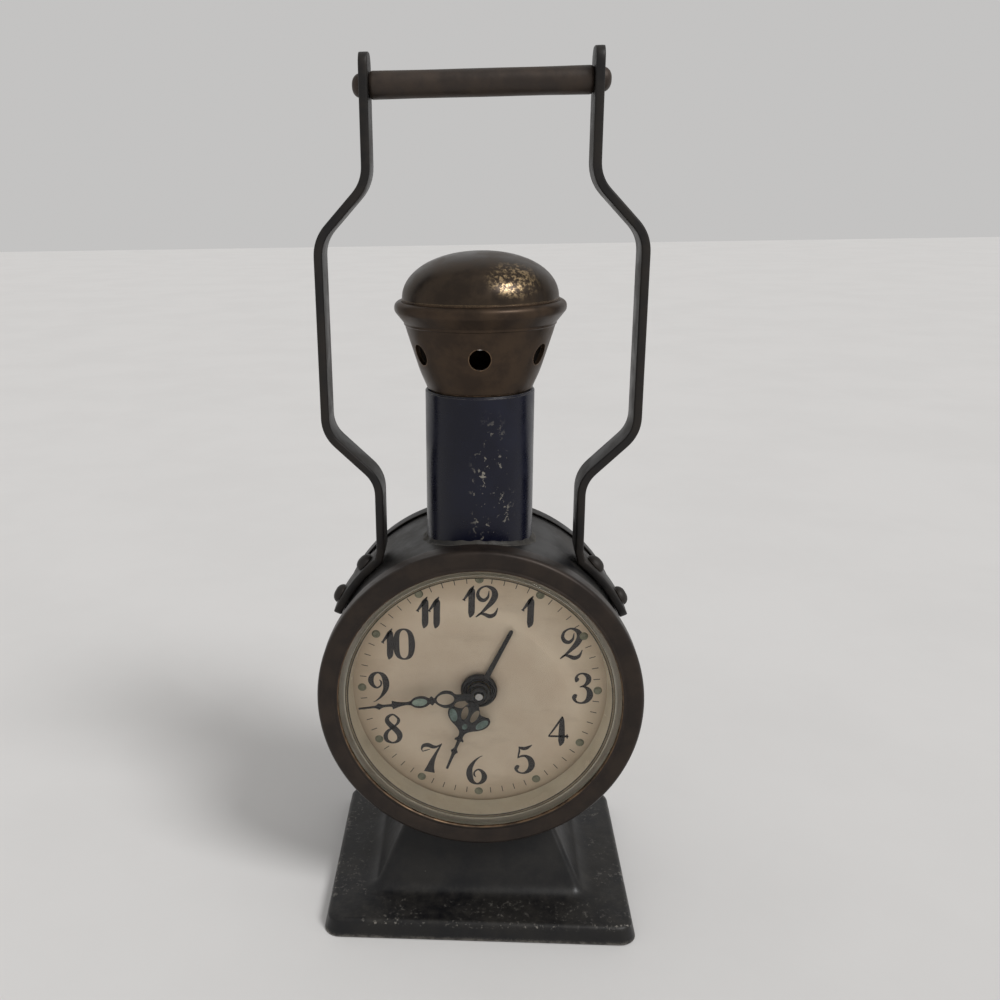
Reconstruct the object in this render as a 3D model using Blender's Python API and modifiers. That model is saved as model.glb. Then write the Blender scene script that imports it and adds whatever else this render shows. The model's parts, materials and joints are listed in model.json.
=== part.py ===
"""A lantern-shaped wind-up alarm clock, built as its separate pieces.

Sizes are in metres. X runs to the right as the dial is read, Y from the dial to the back and Z up.
The origin is on the standing surface, under the middle of the base. The clock's own axis, which
every hand turns on, is the line through (0, AXIS_HEIGHT) along Y.
"""

import math

import bmesh
import bpy
from mathutils import Matrix, Vector

OBJECT_NAME = "lantern_alarm_clock"

# Gaps and helpers
CLEARANCE = 0.0003
OVERRUN = 0.003
MERGE_DISTANCE = 0.00001
CASE_SEGMENTS = 32
TUBE_SEGMENTS = 24
BOSS_SEGMENTS = 12
SMALL_SEGMENTS = 8
ARBOR_SEGMENTS = 6

# Base and plinth, one pressed sheet
BASE_WIDTH = 0.0736
BASE_DEPTH = 0.0580
BASE_CORNER = 0.0040
BASE_WALL = 0.0011
RIM_HEIGHT = 0.0044
RIM_DRAFT = 0.0007
RIM_ROUND = 0.0013
PLINTH_WIDTH = 0.0512
PLINTH_DEPTH = 0.0350
PLINTH_CORNER = 0.0030
PLINTH_FILLET = 0.0028
PLINTH_DRAW_IN = 0.00848
SADDLE_DEPTH = 0.0051
CORNER_STEPS = 3

# Drum, bezel and rear cover
AXIS_HEIGHT = 0.0570
CASE_RADIUS = 0.0358
CASE_WALL = 0.0009
BEZEL_OVERHANG = 0.0012
BEZEL_FACE = 0.0037
BEZEL_LIP = 0.0013
BEZEL_SKIRT = 0.0052
BEZEL_ROUND = 0.0009
REAR_COVER_Y = 0.0215
REAR_COVER_WALL = 0.0009
REAR_RIM_OVERHANG = 0.0007
REAR_RIM_DEPTH = 0.0040

# Dial, reflector ring and crystal, from the dial's face forwards
DIAL_Y = -0.0120
DIAL_THICKNESS = 0.0005
DIAL_MARGIN = 0.0019
DIAL_FOOT_RADIUS = 0.0008
DIAL_FOOT_MARGIN = 0.0040
DIAL_FOOT_ANGLES = (0.0, 180.0)
REFLECTOR_DEPTH = 0.0048
REFLECTOR_WALL = 0.0009
REFLECTOR_RIM = 0.0016
REFLECTOR_WIDTH = 0.0027
REFLECTOR_CREST = 0.0013
GROOVE_INSET = 0.00215
GROOVE_WIDTH = 0.0009
GROOVE_DEPTH = 0.0004
CRYSTAL_THICKNESS = 0.0010
CRYSTAL_STEP_WALL = 0.0006
CRYSTAL_RISE = 0.0009

# Chimney tube, vented collar and dome
TUBE_RADIUS = 0.0122
TUBE_WALL = 0.0008
TUBE_TOP = 0.1259
CHIMNEY_HOLE = 0.0080
COLLAR_FOOT_RADIUS = 0.0117
COLLAR_HEAD_RADIUS = 0.0165
COLLAR_HEIGHT = 0.0140
COLLAR_SPIGOT = 0.0040
COLLAR_WALL = 0.0008
COLLAR_BELLY_RADIUS = 0.0134
COLLAR_BELLY_HEIGHT = 0.0038
FLANGE_RADIUS = 0.0188
FLANGE_THICKNESS = 0.0052
FLANGE_ROLL = 0.0017
FLANGE_ROLL_ANGLES = (72, 24, -24)
VENT_HOLES = 6
VENT_RADIUS = 0.0023
VENT_HEIGHT = 0.0082
DOME_RADIUS = 0.0171
DOME_HEIGHT = 0.0100
DOME_WALL = 0.0009
DOME_STEPS = 5
DOME_POWER_SHARE = 0.95

# Carrying handle
STRAP_WIDTH = 0.0085
STRAP_THICKNESS = 0.0019
STRAP_TOP_X = 0.0239
STRAP_OUT_INSET = 0.0011
STRAP_FOOT_INSET = 0.0128
STRAP_TIP_HEIGHT = 0.1955
STRAP_BEND_HEIGHTS = (0.1699, 0.1584, 0.1162, 0.1050)
STRAP_BEND_RADIUS = 0.0035
STRAP_FOOT_ANGLE = 23.5
STRAP_TIP_CORNER = 0.0028
FOOT_STEPS = 5
GRIP_HEIGHT = 0.1892
GRIP_RADIUS = 0.0028
GRIP_BORE_DEPTH = 0.0060
RIVET_SHANK = 0.0011
RIVET_HEAD = 0.0024
RIVET_DOME = 0.0014
RIVET_DOME_SHARES = ((0.0, 1.0), (0.7, 0.7), (1.0, 0.0))
RIVET_TAIL = 0.0017
RIVET_TAIL_DEPTH = 0.0006
STRAP_RIVET_DROPS = (0.0046, 0.0143)

# Hands
HAND_THICKNESS = 0.0004
HAND_GAP = 0.0007
HAND_BOSS_DEPTH = 0.0008
MINUTE_HAND_MARGIN = 0.0010
HOUR_LENGTH = 0.0215
ALARM_LENGTH = 0.0172
MINUTE_BOSS = 0.0020
HOUR_BOSS = 0.0027
ALARM_BOSS = 0.0040
ALARM_HAND_WIDTH = 0.0010
MINUTE_TURN_SHARE = 0.7283
HOUR_TURN_SHARE = 0.5575
ALARM_TURN_SHARE = 0.0717
# Half outlines as shares of the hand's length: how far out, and how wide to one side.
MINUTE_OUTLINE_SHARES = (
    (0.045, 0.028), (0.16, 0.030), (0.20, 0.050), (0.27, 0.066), (0.33, 0.052), (0.37, 0.020),
    (0.40, 0.026), (0.43, 0.042), (0.48, 0.048), (0.53, 0.036), (0.58, 0.014), (0.65, 0.012),
    (0.67, 0.030), (0.69, 0.012), (0.76, 0.010), (0.78, 0.022), (0.80, 0.010), (0.99, 0.006),
)
HOUR_OUTLINE_SHARES = (
    (0.08, 0.052), (0.22, 0.085), (0.30, 0.120), (0.33, 0.190), (0.38, 0.222), (0.43, 0.205),
    (0.455, 0.150), (0.50, 0.075), (0.55, 0.034), (0.61, 0.030), (0.635, 0.062), (0.66, 0.026),
    (0.74, 0.018), (0.78, 0.042), (0.82, 0.018), (0.99, 0.010),
)
# Openings as shares of the length: how far out, how far aside, half length and half width, and lean.
MINUTE_OPENING_SHARES = ((0.27, 0.0, 0.060, 0.036, 0), (0.475, 0.0, 0.040, 0.022, 0))
HOUR_OPENING_SHARES = (
    (0.31, 0.056, 0.070, 0.030, 10), (0.31, -0.056, 0.070, 0.030, -10),
    (0.375, 0.160, 0.036, 0.020, 40), (0.375, -0.160, 0.036, 0.020, -40),
)
OPENING_POINTS = 8

# Movement frame
FRONT_PLATE_GAP = 0.0046
PLATE_THICKNESS = 0.0010
PLATE_SPACING = 0.0150
PILLAR_RADIUS = 0.0018
PILLAR_MARGINS = (0.0031, 0.0031, 0.0056)
PILLAR_ANGLES = (131.5, 48.5, 270.0)
PILLAR_SPIGOT = 0.0011
PILLAR_BORE_DEPTH = 0.0050
COVER_SCREW_SHANK = 0.0008
COVER_SCREW_HEAD = 0.0021
COVER_SCREW_HEAD_DEPTH = 0.0009
PIVOT_RADIUS = 0.0005
ARBOR_RADIUS = 0.0007

# Teeth: their height above and below the pitch circle, as shares of the module
WHEEL_ADDENDUM_SHARE = 0.85
WHEEL_DEDENDUM_SHARE = 1.10
LEAF_ADDENDUM_SHARE = 0.70
LEAF_DEDENDUM_SHARE = 1.15
MOST_LEAVES = 14

# Going train: teeth, layers behind the front plate, and directions from arbor to arbor. The modules
# and reaches of the movement are shares of its plates' radius.
GREAT_MODULE_SHARE = 0.0237
GREAT_TEETH = 32
CENTRE_LEAVES = 8
GREAT_ANGLE = 204.0
CENTRE_MODULE_SHARE = 0.01532
CENTRE_TEETH = 42
THIRD_LEAVES = 6
THIRD_ANGLE = 135.0
THIRD_MODULE_SHARE = 0.01214
THIRD_TEETH = 48
FOURTH_LEAVES = 6
FOURTH_ANGLE = 40.0
FOURTH_MODULE_SHARE = 0.01156
FOURTH_TEETH = 48
ESCAPE_LEAVES = 6
ESCAPE_ANGLE = -20.0
ESCAPE_TEETH = 15
ESCAPE_RADIUS_SHARE = 0.133
ESCAPE_ROOT_SHARE = 0.74
WHEEL_THICKNESS = 0.0006
GREAT_THICKNESS = 0.0010
LEAF_OVERHANG = 0.0003
SPRING_LAYER = 0.0007
SPRING_WIDTH = 0.0058
GREAT_LAYER = 0.0073
CENTRE_LAYER = 0.0091
THIRD_LAYER = 0.0109
FOURTH_LAYER = 0.0127
ESCAPE_LAYER = 0.0039
WHEEL_RIM_SHARE = 0.80
WHEEL_HUB_SHARE = 0.30
WHEEL_CROSSING_SHARE = 0.62
CROSSINGS = 4

# Winding arbors and mainsprings
WINDER_RADIUS = 0.0014
WINDER_COLLAR = 0.0024
SPRING_TURNS = 4
SPRING_STEPS = 8
SPRING_THICKNESS = 0.00045
SPRING_INNER = 0.0022
SPRING_OUTER_SHARE = 0.324
KEY_SPAN = 0.0095
KEY_HUB_RADIUS = 0.0026
KEY_THICKNESS = 0.0016
KEY_WAIST = 0.0022
KEY_GAP = 0.0011
KEY_LENGTH = 0.0062
KEY_EYE_RADIUS = 0.0012

# Lever, balance and regulator
LEVER_FROM_ESCAPE_SHARE = 0.179
LEVER_LAYER = 0.0049
LEVER_THICKNESS = 0.0005
LEVER_WAIST = 0.0005
LEVER_SPAN_SHARE = 0.0751
LEVER_DROP_SHARE = 0.0434
PALLET_RADIUS = 0.0003
BALANCE_DISTANCE_SHARE = 0.370
BALANCE_ANGLE = 78.0
BALANCE_RADIUS_SHARE = 0.159
BALANCE_RIM = 0.0009
BALANCE_LAYER = 0.0066
BALANCE_THICKNESS = 0.0008
BALANCE_CROSSING_ANGLES = (12, 50, 90, 130, 168)
HAIRSPRING_LAYER = 0.0108
HAIRSPRING_WIDTH = 0.0005
HAIRSPRING_TURNS = 3
HAIRSPRING_INNER = 0.0012
HAIRSPRING_OUTER = 0.0034
HAIRSPRING_THICKNESS = 0.00014
BEARING_SCREW_RADIUS = 0.0014
BEARING_SCREW_DEPTH = 0.0046
REGULATOR_LENGTH_SHARE = 0.260
REGULATOR_ANGLE = 250.0
REGULATOR_SWING = 22.0
REGULATOR_THICKNESS = 0.0006
REGULATOR_RING = 0.0028
REGULATOR_ARM = 0.0014
REGULATOR_STANDOUT = 0.0016

# Alarm train and hammer
ALARM_GREAT_TEETH = 28
ALARM_GREAT_ANGLE = 336.0
VERGE_LEAVES = 7
VERGE_ANGLE = 75.0
VERGE_TEETH = 12
VERGE_RADIUS_SHARE = 0.1156
VERGE_LAYER = 0.0110
HAMMER_FROM_VERGE_SHARE = 0.185
HAMMER_ANGLE = 40.0
HAMMER_SPAN_SHARE = 0.0751
HAMMER_DROP_SHARE = 0.0723
HAMMER_REACH_SHARE = 0.477
HAMMER_HANG_ANGLE = 283.0
HAMMER_HEAD_RADIUS = 0.0019
HAMMER_HEAD_DEPTH = 0.0040
HAMMER_ARM = 0.0010
HAMMER_SWING = 5.0
STUD_RADIUS = 0.0014
STUD_LENGTH = 0.0070

# Motion work, in the gap between the dial and the front plate
CANNON_MODULE_SHARE = 0.02168
CANNON_LEAVES = 8
MINUTE_TEETH = 24
MINUTE_ANGLE = 60.0
MINUTE_LEAVES = 6
HOUR_TEETH = 24
ALARM_SET_MODULE_SHARE = 0.02457
ALARM_SET_LEAVES = 7
ALARM_WHEEL_TEETH = 24
ALARM_SET_ANGLE = 270.0
MINUTE_LAYER = 0.0004
HOUR_LAYER = 0.0018
ALARM_LAYER = 0.0032
MOTION_THICKNESS = 0.0006
CENTRE_ARBOR = 0.0009
PIPE_WALL = 0.0005

# Knobs and stop button on the rear cover
KNOB_RADIUS = 0.0042
KNOB_LENGTH = 0.0056
KNOB_GAP = 0.0008
KNOB_RIBS = 10
KNOB_RIB_SHARE = 0.90
BUTTON_RADIUS = 0.0022
BUTTON_STEM = 0.0012
BUTTON_LENGTH = 0.0062
BUTTON_HEAD = 0.0020
BUTTON_INSIDE = 0.0060
BUTTON_REACH_SHARE = 0.624
BUTTON_ANGLE = 123.7
COVER_HOLE_MARGIN = 0.0004

# Screws that hold the drum on its plinth
BASE_SCREW_SPACING = 0.0080
BASE_SCREW_MIDDLE = 0.0017
BASE_SCREW_SHANK = 0.0012
BASE_SCREW_HEAD = 0.0024
BASE_SCREW_HEAD_DEPTH = 0.0014
CLAMP_WIDTH = 0.0080
CLAMP_LENGTH = 0.0136
CLAMP_THICKNESS = 0.0012

# Places worked out from the sizes above
PLINTH_TOP = AXIS_HEIGHT - CASE_RADIUS + SADDLE_DEPTH
PLINTH_LEAN_SHARE = PLINTH_DRAW_IN / (AXIS_HEIGHT - CASE_RADIUS - RIM_HEIGHT)
CASE_BORE = CASE_RADIUS - CASE_WALL
BEZEL_RADIUS = CASE_RADIUS + BEZEL_OVERHANG
BEZEL_OPENING = CASE_RADIUS - BEZEL_FACE
REAR_RIM_RADIUS = CASE_RADIUS + REAR_RIM_OVERHANG
DIAL_RADIUS = CASE_BORE - DIAL_MARGIN
DIAL_OPENING = BEZEL_OPENING - REFLECTOR_WIDTH
DIAL_FOOT_REACH = DIAL_RADIUS - DIAL_FOOT_MARGIN
GROOVE_RADIUS = BEZEL_OPENING - GROOVE_INSET
MINUTE_LENGTH = DIAL_OPENING - MINUTE_HAND_MARGIN
PLATE_RADIUS = CASE_BORE - CLEARANCE
GREAT_MODULE = PLATE_RADIUS * GREAT_MODULE_SHARE
CENTRE_MODULE = PLATE_RADIUS * CENTRE_MODULE_SHARE
THIRD_MODULE = PLATE_RADIUS * THIRD_MODULE_SHARE
FOURTH_MODULE = PLATE_RADIUS * FOURTH_MODULE_SHARE
CANNON_MODULE = PLATE_RADIUS * CANNON_MODULE_SHARE
ALARM_SET_MODULE = PLATE_RADIUS * ALARM_SET_MODULE_SHARE
ESCAPE_RADIUS = PLATE_RADIUS * ESCAPE_RADIUS_SHARE
LEVER_FROM_ESCAPE = PLATE_RADIUS * LEVER_FROM_ESCAPE_SHARE
LEVER_SPAN = PLATE_RADIUS * LEVER_SPAN_SHARE
LEVER_DROP = PLATE_RADIUS * LEVER_DROP_SHARE
BALANCE_DISTANCE = PLATE_RADIUS * BALANCE_DISTANCE_SHARE
BALANCE_RADIUS = PLATE_RADIUS * BALANCE_RADIUS_SHARE
REGULATOR_LENGTH = PLATE_RADIUS * REGULATOR_LENGTH_SHARE
SPRING_OUTER = PLATE_RADIUS * SPRING_OUTER_SHARE
VERGE_RADIUS = PLATE_RADIUS * VERGE_RADIUS_SHARE
HAMMER_FROM_VERGE = PLATE_RADIUS * HAMMER_FROM_VERGE_SHARE
HAMMER_SPAN = PLATE_RADIUS * HAMMER_SPAN_SHARE
HAMMER_DROP = PLATE_RADIUS * HAMMER_DROP_SHARE
HAMMER_REACH = PLATE_RADIUS * HAMMER_REACH_SHARE
BUTTON_REACH = PLATE_RADIUS * BUTTON_REACH_SHARE
DIAL_BACK = DIAL_Y + DIAL_THICKNESS
LIP_Y = DIAL_Y - CLEARANCE - REFLECTOR_DEPTH
CREST_Y = LIP_Y - REFLECTOR_CREST
CRYSTAL_BACK = LIP_Y - CLEARANCE
CRYSTAL_FRONT = CRYSTAL_BACK - CRYSTAL_THICKNESS
BEZEL_SEAT = CRYSTAL_FRONT - CLEARANCE
BEZEL_FRONT = BEZEL_SEAT - BEZEL_LIP
CASE_FRONT = BEZEL_SEAT + CLEARANCE
CASE_REAR = REAR_COVER_Y - REAR_COVER_WALL - CLEARANCE
FRONT_PLATE_Y = DIAL_BACK + FRONT_PLATE_GAP
FRONT_PLATE_BACK = FRONT_PLATE_Y + PLATE_THICKNESS
REAR_PLATE_Y = FRONT_PLATE_BACK + PLATE_SPACING
REAR_PLATE_BACK = REAR_PLATE_Y + PLATE_THICKNESS
PILLAR_END = CASE_REAR
SADDLE_RADIUS = CASE_RADIUS + CLEARANCE
COLLAR_FOOT = TUBE_TOP + CLEARANCE
COLLAR_HEAD = COLLAR_FOOT + COLLAR_HEIGHT
FLANGE_TOP = COLLAR_HEAD + FLANGE_THICKNESS
DOME_FOOT = FLANGE_TOP + CLEARANCE
STRAP_SEAT = CASE_RADIUS + CLEARANCE
STRAP_OUT_X = CASE_RADIUS - STRAP_OUT_INSET
STRAP_FOOT_X = CASE_RADIUS - STRAP_FOOT_INSET
STRAP_CURVE = STRAP_SEAT + STRAP_THICKNESS / 2
STRAP_TOP_ANGLE = math.degrees(math.acos(STRAP_FOOT_X / STRAP_CURVE))

# Turns that bring a piece made along its own Z onto an axis of the clock. Along Y, +Z points to the dial.
ALONG_Z = Matrix.Identity(4)
ALONG_Y = Matrix.Rotation(math.radians(90), 4, "X")
ALONG_X = Matrix.Rotation(math.radians(90), 4, "Y")

for old in list(bpy.data.objects):
    bpy.data.objects.remove(old, do_unlink=True)
parts = bpy.data.collections.new(OBJECT_NAME)
cutters = bpy.data.collections.new(OBJECT_NAME + "_cutters")
bpy.context.scene.collection.children.link(parts)
bpy.context.scene.collection.children.link(cutters)


def finish(name, colour, roughness, metallic=0.0, alpha=1.0):
    """A plain Principled material."""
    material = bpy.data.materials.new(name)
    material.use_nodes = True
    shader = material.node_tree.nodes["Principled BSDF"]
    shader.inputs["Base Color"].default_value = (*colour, 1.0)
    shader.inputs["Roughness"].default_value = roughness
    shader.inputs["Metallic"].default_value = metallic
    shader.inputs["Alpha"].default_value = alpha
    material.diffuse_color = (*colour, alpha)
    return material


BLACK_PAINT = finish("black_paint", (0.018, 0.018, 0.020), 0.42)
NAVY_PAINT = finish("navy_paint", (0.012, 0.013, 0.022), 0.32)
BEZEL_BRONZE = finish("dark_bronze", (0.060, 0.042, 0.030), 0.38, 0.8)
ANTIQUE_BRONZE = finish("antique_bronze", (0.130, 0.098, 0.062), 0.36, 0.9)
STRAP_STEEL = finish("strap_steel", (0.040, 0.034, 0.030), 0.45, 0.7)
CREAM_ENAMEL = finish("cream_enamel", (0.80, 0.72, 0.58), 0.25)
DIAL_PAPER = finish("dial_cream", (0.80, 0.69, 0.55), 0.55)
HAND_BLACK = finish("hand_black", (0.012, 0.012, 0.014), 0.35)
CLEAR_CRYSTAL = finish("crystal", (0.95, 0.96, 0.96), 0.05, 0.0, 0.2)
BRASS = finish("brass", (0.62, 0.45, 0.18), 0.30, 1.0)
STEEL = finish("steel", (0.50, 0.50, 0.50), 0.30, 1.0)
BLUED_STEEL = finish("blued_steel", (0.07, 0.08, 0.14), 0.28, 1.0)


def place(x=0.0, y=0.0, z=0.0, turn=ALONG_Z):
    return Matrix.Translation((x, y, z)) @ turn


def on_case(x=0.0, z=0.0, y=0.0):
    """A place beside the clock's axis, for a piece made along Y."""
    return place(x, y, AXIS_HEIGHT + z, ALONG_Y)


def add(name, mesh, matrix, material=None):
    """An object for the mesh: a part if it has a material, and otherwise a hidden cutter."""
    obj = bpy.data.objects.new(name, mesh)
    obj.matrix_world = matrix
    if material:
        mesh.materials.append(material)
        parts.objects.link(obj)
    else:
        cutters.objects.link(obj)
        obj.hide_render = True
        obj.display_type = "WIRE"
    return obj


def boolean(obj, other, operation):
    modifier = obj.modifiers.new(other.name, "BOOLEAN")
    modifier.operation = operation
    modifier.solver = "EXACT"
    modifier.object = other
    return obj


def cut(obj, *others):
    for other in others:
        boolean(obj, other, "DIFFERENCE")
    return obj


def fuse(obj, *others):
    for other in others:
        boolean(obj, other, "UNION")
    return obj


def turned(name, profile, matrix, material=None, segments=SMALL_SEGMENTS, ring=False):
    """Turns a profile of (radius, height) about Z. It runs down the outer side, and a ring's runs
    back up the inner side to where it began."""
    mesh = bpy.data.meshes.new(name)
    shape = bmesh.new()
    start_x, start_y = math.cos(math.pi / segments), math.sin(math.pi / segments)
    points = [shape.verts.new((radius * start_x, radius * start_y, height)) for radius, height in profile]
    for start, end in zip(points, points[1:]):
        shape.edges.new((start, end))
    if ring:
        shape.edges.new((points[-1], points[0]))
    shape.to_mesh(mesh)
    shape.free()
    obj = add(name, mesh, matrix, material)
    screw = obj.modifiers.new("turn", "SCREW")
    screw.steps = screw.render_steps = segments
    screw.use_merge_vertices = True
    screw.merge_threshold = MERGE_DISTANCE
    return obj


def along_case(profile):
    """A profile of (radius, y) from front to back, as turned() takes it for a piece along Y."""
    return [(radius, -y) for radius, y in profile]


def rod(radius, start, end):
    """The profile of a plain rod from one height down to a lower one."""
    return [(0, start), (radius, start), (radius, end), (0, end)]


def tube(outer, inner, start, end):
    return [(outer, start), (outer, end), (inner, end), (inner, start)]


def circle(radius, count, x=0.0, y=0.0, stretch=None):
    stretch = stretch or radius
    angles = [2 * math.pi * (step + 1 / 2) / count for step in range(count)]
    return [(x + radius * math.cos(a), y + stretch * math.sin(a)) for a in angles]


def flat_mesh(name, loops, thickness):
    """A flat outline with its holes, with half its thickness on each side of its own XY plane."""
    curve = bpy.data.curves.new(name, "CURVE")
    curve.dimensions = "2D"
    curve.fill_mode = "BOTH"
    curve.extrude = thickness / 2
    for loop in loops:
        spline = curve.splines.new("POLY")
        spline.points.add(len(loop) - 1)
        spline.use_cyclic_u = True
        for point, (x, y) in zip(spline.points, loop):
            point.co = (x, y, 0, 1)
    helper = bpy.data.objects.new(name + "_outline", curve)
    cutters.objects.link(helper)
    graph = bpy.context.evaluated_depsgraph_get()
    mesh = bpy.data.meshes.new_from_object(helper.evaluated_get(graph))
    mesh.name = name
    bpy.data.objects.remove(helper)
    bpy.data.curves.remove(curve)
    shape = bmesh.new()
    shape.from_mesh(mesh)
    bmesh.ops.remove_doubles(shape, verts=shape.verts, dist=MERGE_DISTANCE)
    bmesh.ops.recalc_face_normals(shape, faces=shape.faces)
    shape.to_mesh(mesh)
    shape.free()
    return mesh


def flat(name, loops, start, end, matrix, material=None):
    """A flat piece between two places along the clock's axis, from start back to end."""
    mesh = flat_mesh(name, loops, end - start)
    return add(name, mesh, Matrix.Translation((0, (start + end) / 2, 0)) @ matrix, material)


def loft(name, rings, matrix, material=None):
    """Joins rings of equally many points, from the lowest to the highest, and closes both ends."""
    mesh = bpy.data.meshes.new(name)
    shape = bmesh.new()
    rows = [[shape.verts.new(point) for point in ring] for ring in rings]
    for lower, upper in zip(rows, rows[1:]):
        for index in range(len(lower)):
            following = (index + 1) % len(lower)
            shape.faces.new((lower[index], lower[following], upper[following], upper[index]))
    shape.faces.new(list(reversed(rows[0])))
    shape.faces.new(rows[-1])
    shape.to_mesh(mesh)
    shape.free()
    return add(name, mesh, matrix, material)


def shade(obj, angle=32):
    obj.data.shade_smooth()
    obj.data.set_sharp_from_angle(angle=math.radians(angle))


def direction(degrees, reach=1.0):
    return reach * math.cos(math.radians(degrees)), reach * math.sin(math.radians(degrees))


def beyond(start, degrees, reach):
    """The place a distance away from another, both as (x, z) from the clock's axis."""
    dx, dz = direction(degrees, reach)
    return start[0] + dx, start[1] + dz


def pitch_radius(teeth, module):
    return teeth * module / 2


def tooth_loop(teeth, module, phase):
    """The outline of a wheel or pinion with pointed teeth. One tooth's tip is at the phase."""
    leaves = teeth <= MOST_LEAVES
    above = LEAF_ADDENDUM_SHARE if leaves else WHEEL_ADDENDUM_SHARE
    below = LEAF_DEDENDUM_SHARE if leaves else WHEEL_DEDENDUM_SHARE
    radii = (pitch_radius(teeth, module) + above * module, pitch_radius(teeth, module) - below * module)
    loop = []
    for step in range(2 * teeth):
        angle = phase + math.pi * step / teeth
        loop.append((radii[step % 2] * math.cos(angle), radii[step % 2] * math.sin(angle)))
    return loop


def meshed(teeth, phase, degrees, other_teeth):
    """The phase of the other wheel whose gap faces this wheel's tooth, in that direction from this one."""
    towards = math.radians(degrees)
    passed = (towards - phase) * teeth / (2 * math.pi) % 1.0
    return towards + math.pi - (0.5 - passed) * 2 * math.pi / other_teeth


def crossings(teeth, module):
    """The openings between a wheel's spokes."""
    rim = pitch_radius(teeth, module) * WHEEL_RIM_SHARE
    hub = pitch_radius(teeth, module) * WHEEL_HUB_SHARE
    width = 2 * math.pi / CROSSINGS * WHEEL_CROSSING_SHARE
    loops = []
    for index in range(CROSSINGS):
        middle = 2 * math.pi * (index + 1 / 2) / CROSSINGS
        spread = [middle + width * share for share in (-1 / 2, 0, 1 / 2)]
        outer = [(rim * math.cos(a), rim * math.sin(a)) for a in spread]
        inner = [(hub * math.cos(a), hub * math.sin(a)) for a in (spread[-1], spread[0])]
        loops.append(outer + inner)
    return loops


def arbor_profile(start, end, radius=ARBOR_RADIUS):
    """An arbor with a thinner pivot at each end, which runs in the two plates."""
    front = start + PLATE_THICKNESS + CLEARANCE
    back = end - PLATE_THICKNESS - CLEARANCE
    points = [(0, start), (PIVOT_RADIUS, start), (PIVOT_RADIUS, front), (radius, front)]
    points += [(radius, back), (PIVOT_RADIUS, back), (PIVOT_RADIUS, end), (0, end)]
    return along_case(points)


def layer(depth):
    """The place along Y of something that lies this far behind the front plate."""
    return FRONT_PLATE_BACK + depth


def arbor_between_plates(name, at, material, segments=ARBOR_SEGMENTS):
    profile = arbor_profile(FRONT_PLATE_Y, REAR_PLATE_BACK)
    return turned(name, profile, on_case(*at), material, segments)


# Places of the arbors, as (x, z) from the clock's axis, from the meshing of their wheels
CENTRE = (0.0, 0.0)
GREAT_REACH = pitch_radius(GREAT_TEETH + CENTRE_LEAVES, GREAT_MODULE)
TIME_WINDER = beyond(CENTRE, GREAT_ANGLE, GREAT_REACH)
ALARM_WINDER = beyond(CENTRE, ALARM_GREAT_ANGLE, GREAT_REACH)
THIRD = beyond(CENTRE, THIRD_ANGLE, pitch_radius(CENTRE_TEETH + THIRD_LEAVES, CENTRE_MODULE))
FOURTH = beyond(THIRD, FOURTH_ANGLE, pitch_radius(THIRD_TEETH + FOURTH_LEAVES, THIRD_MODULE))
ESCAPE = beyond(FOURTH, ESCAPE_ANGLE, pitch_radius(FOURTH_TEETH + ESCAPE_LEAVES, FOURTH_MODULE))
BALANCE = beyond(ESCAPE, BALANCE_ANGLE, BALANCE_DISTANCE)
LEVER = beyond(ESCAPE, BALANCE_ANGLE, LEVER_FROM_ESCAPE)
VERGE = beyond(ALARM_WINDER, VERGE_ANGLE, pitch_radius(ALARM_GREAT_TEETH + VERGE_LEAVES, GREAT_MODULE))
HAMMER = beyond(VERGE, HAMMER_ANGLE, HAMMER_FROM_VERGE)
MINUTE_STUD = beyond(CENTRE, MINUTE_ANGLE, pitch_radius(CANNON_LEAVES + MINUTE_TEETH, CANNON_MODULE))
HOUR_MODULE = 2 * math.hypot(*MINUTE_STUD) / (MINUTE_LEAVES + HOUR_TEETH)
ALARM_SETTER = beyond(
    CENTRE, ALARM_SET_ANGLE, pitch_radius(ALARM_SET_LEAVES + ALARM_WHEEL_TEETH, ALARM_SET_MODULE)
)
STOP_BUTTON = beyond(CENTRE, BUTTON_ANGLE, BUTTON_REACH)
PILLARS = [beyond(CENTRE, angle, PLATE_RADIUS - gap) for angle, gap in zip(PILLAR_ANGLES, PILLAR_MARGINS)]
DIAL_FEET = [beyond(CENTRE, angle, DIAL_FOOT_REACH) for angle in DIAL_FOOT_ANGLES]
PILLAR_NAMES = ("left", "right", "lower")
BASE_SCREW_PLACES = (
    BASE_SCREW_MIDDLE - BASE_SCREW_SPACING / 2,
    BASE_SCREW_MIDDLE + BASE_SCREW_SPACING / 2,
)
# Radii of the pipes that turn on the centre arbor, one inside the other
HOUR_PIPE_BORE = CENTRE_ARBOR + CLEARANCE
HOUR_PIPE = HOUR_PIPE_BORE + PIPE_WALL
ALARM_PIPE_BORE = HOUR_PIPE + CLEARANCE
ALARM_PIPE = ALARM_PIPE_BORE + PIPE_WALL
ALARM_HAND_Y = DIAL_Y - HAND_GAP
HOUR_HAND_Y = ALARM_HAND_Y - HAND_BOSS_DEPTH - HAND_GAP / 2
MINUTE_HAND_Y = HOUR_HAND_Y - HAND_BOSS_DEPTH - HAND_GAP / 2
WALL_MIDDLE = REAR_COVER_Y - REAR_COVER_WALL / 2


def rounded_ring(half_width, half_depth, corner, height):
    """A ring of points round a rectangle with round corners."""
    ring = []
    for index, (side_x, side_y) in enumerate(((1, 1), (-1, 1), (-1, -1), (1, -1))):
        x = side_x * (half_width - corner)
        y = side_y * (half_depth - corner)
        for step in range(CORNER_STEPS + 1):
            angle = math.radians(90) * (index + step / CORNER_STEPS)
            ring.append((x + corner * math.cos(angle), y + corner * math.sin(angle), height))
    return ring


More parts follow.
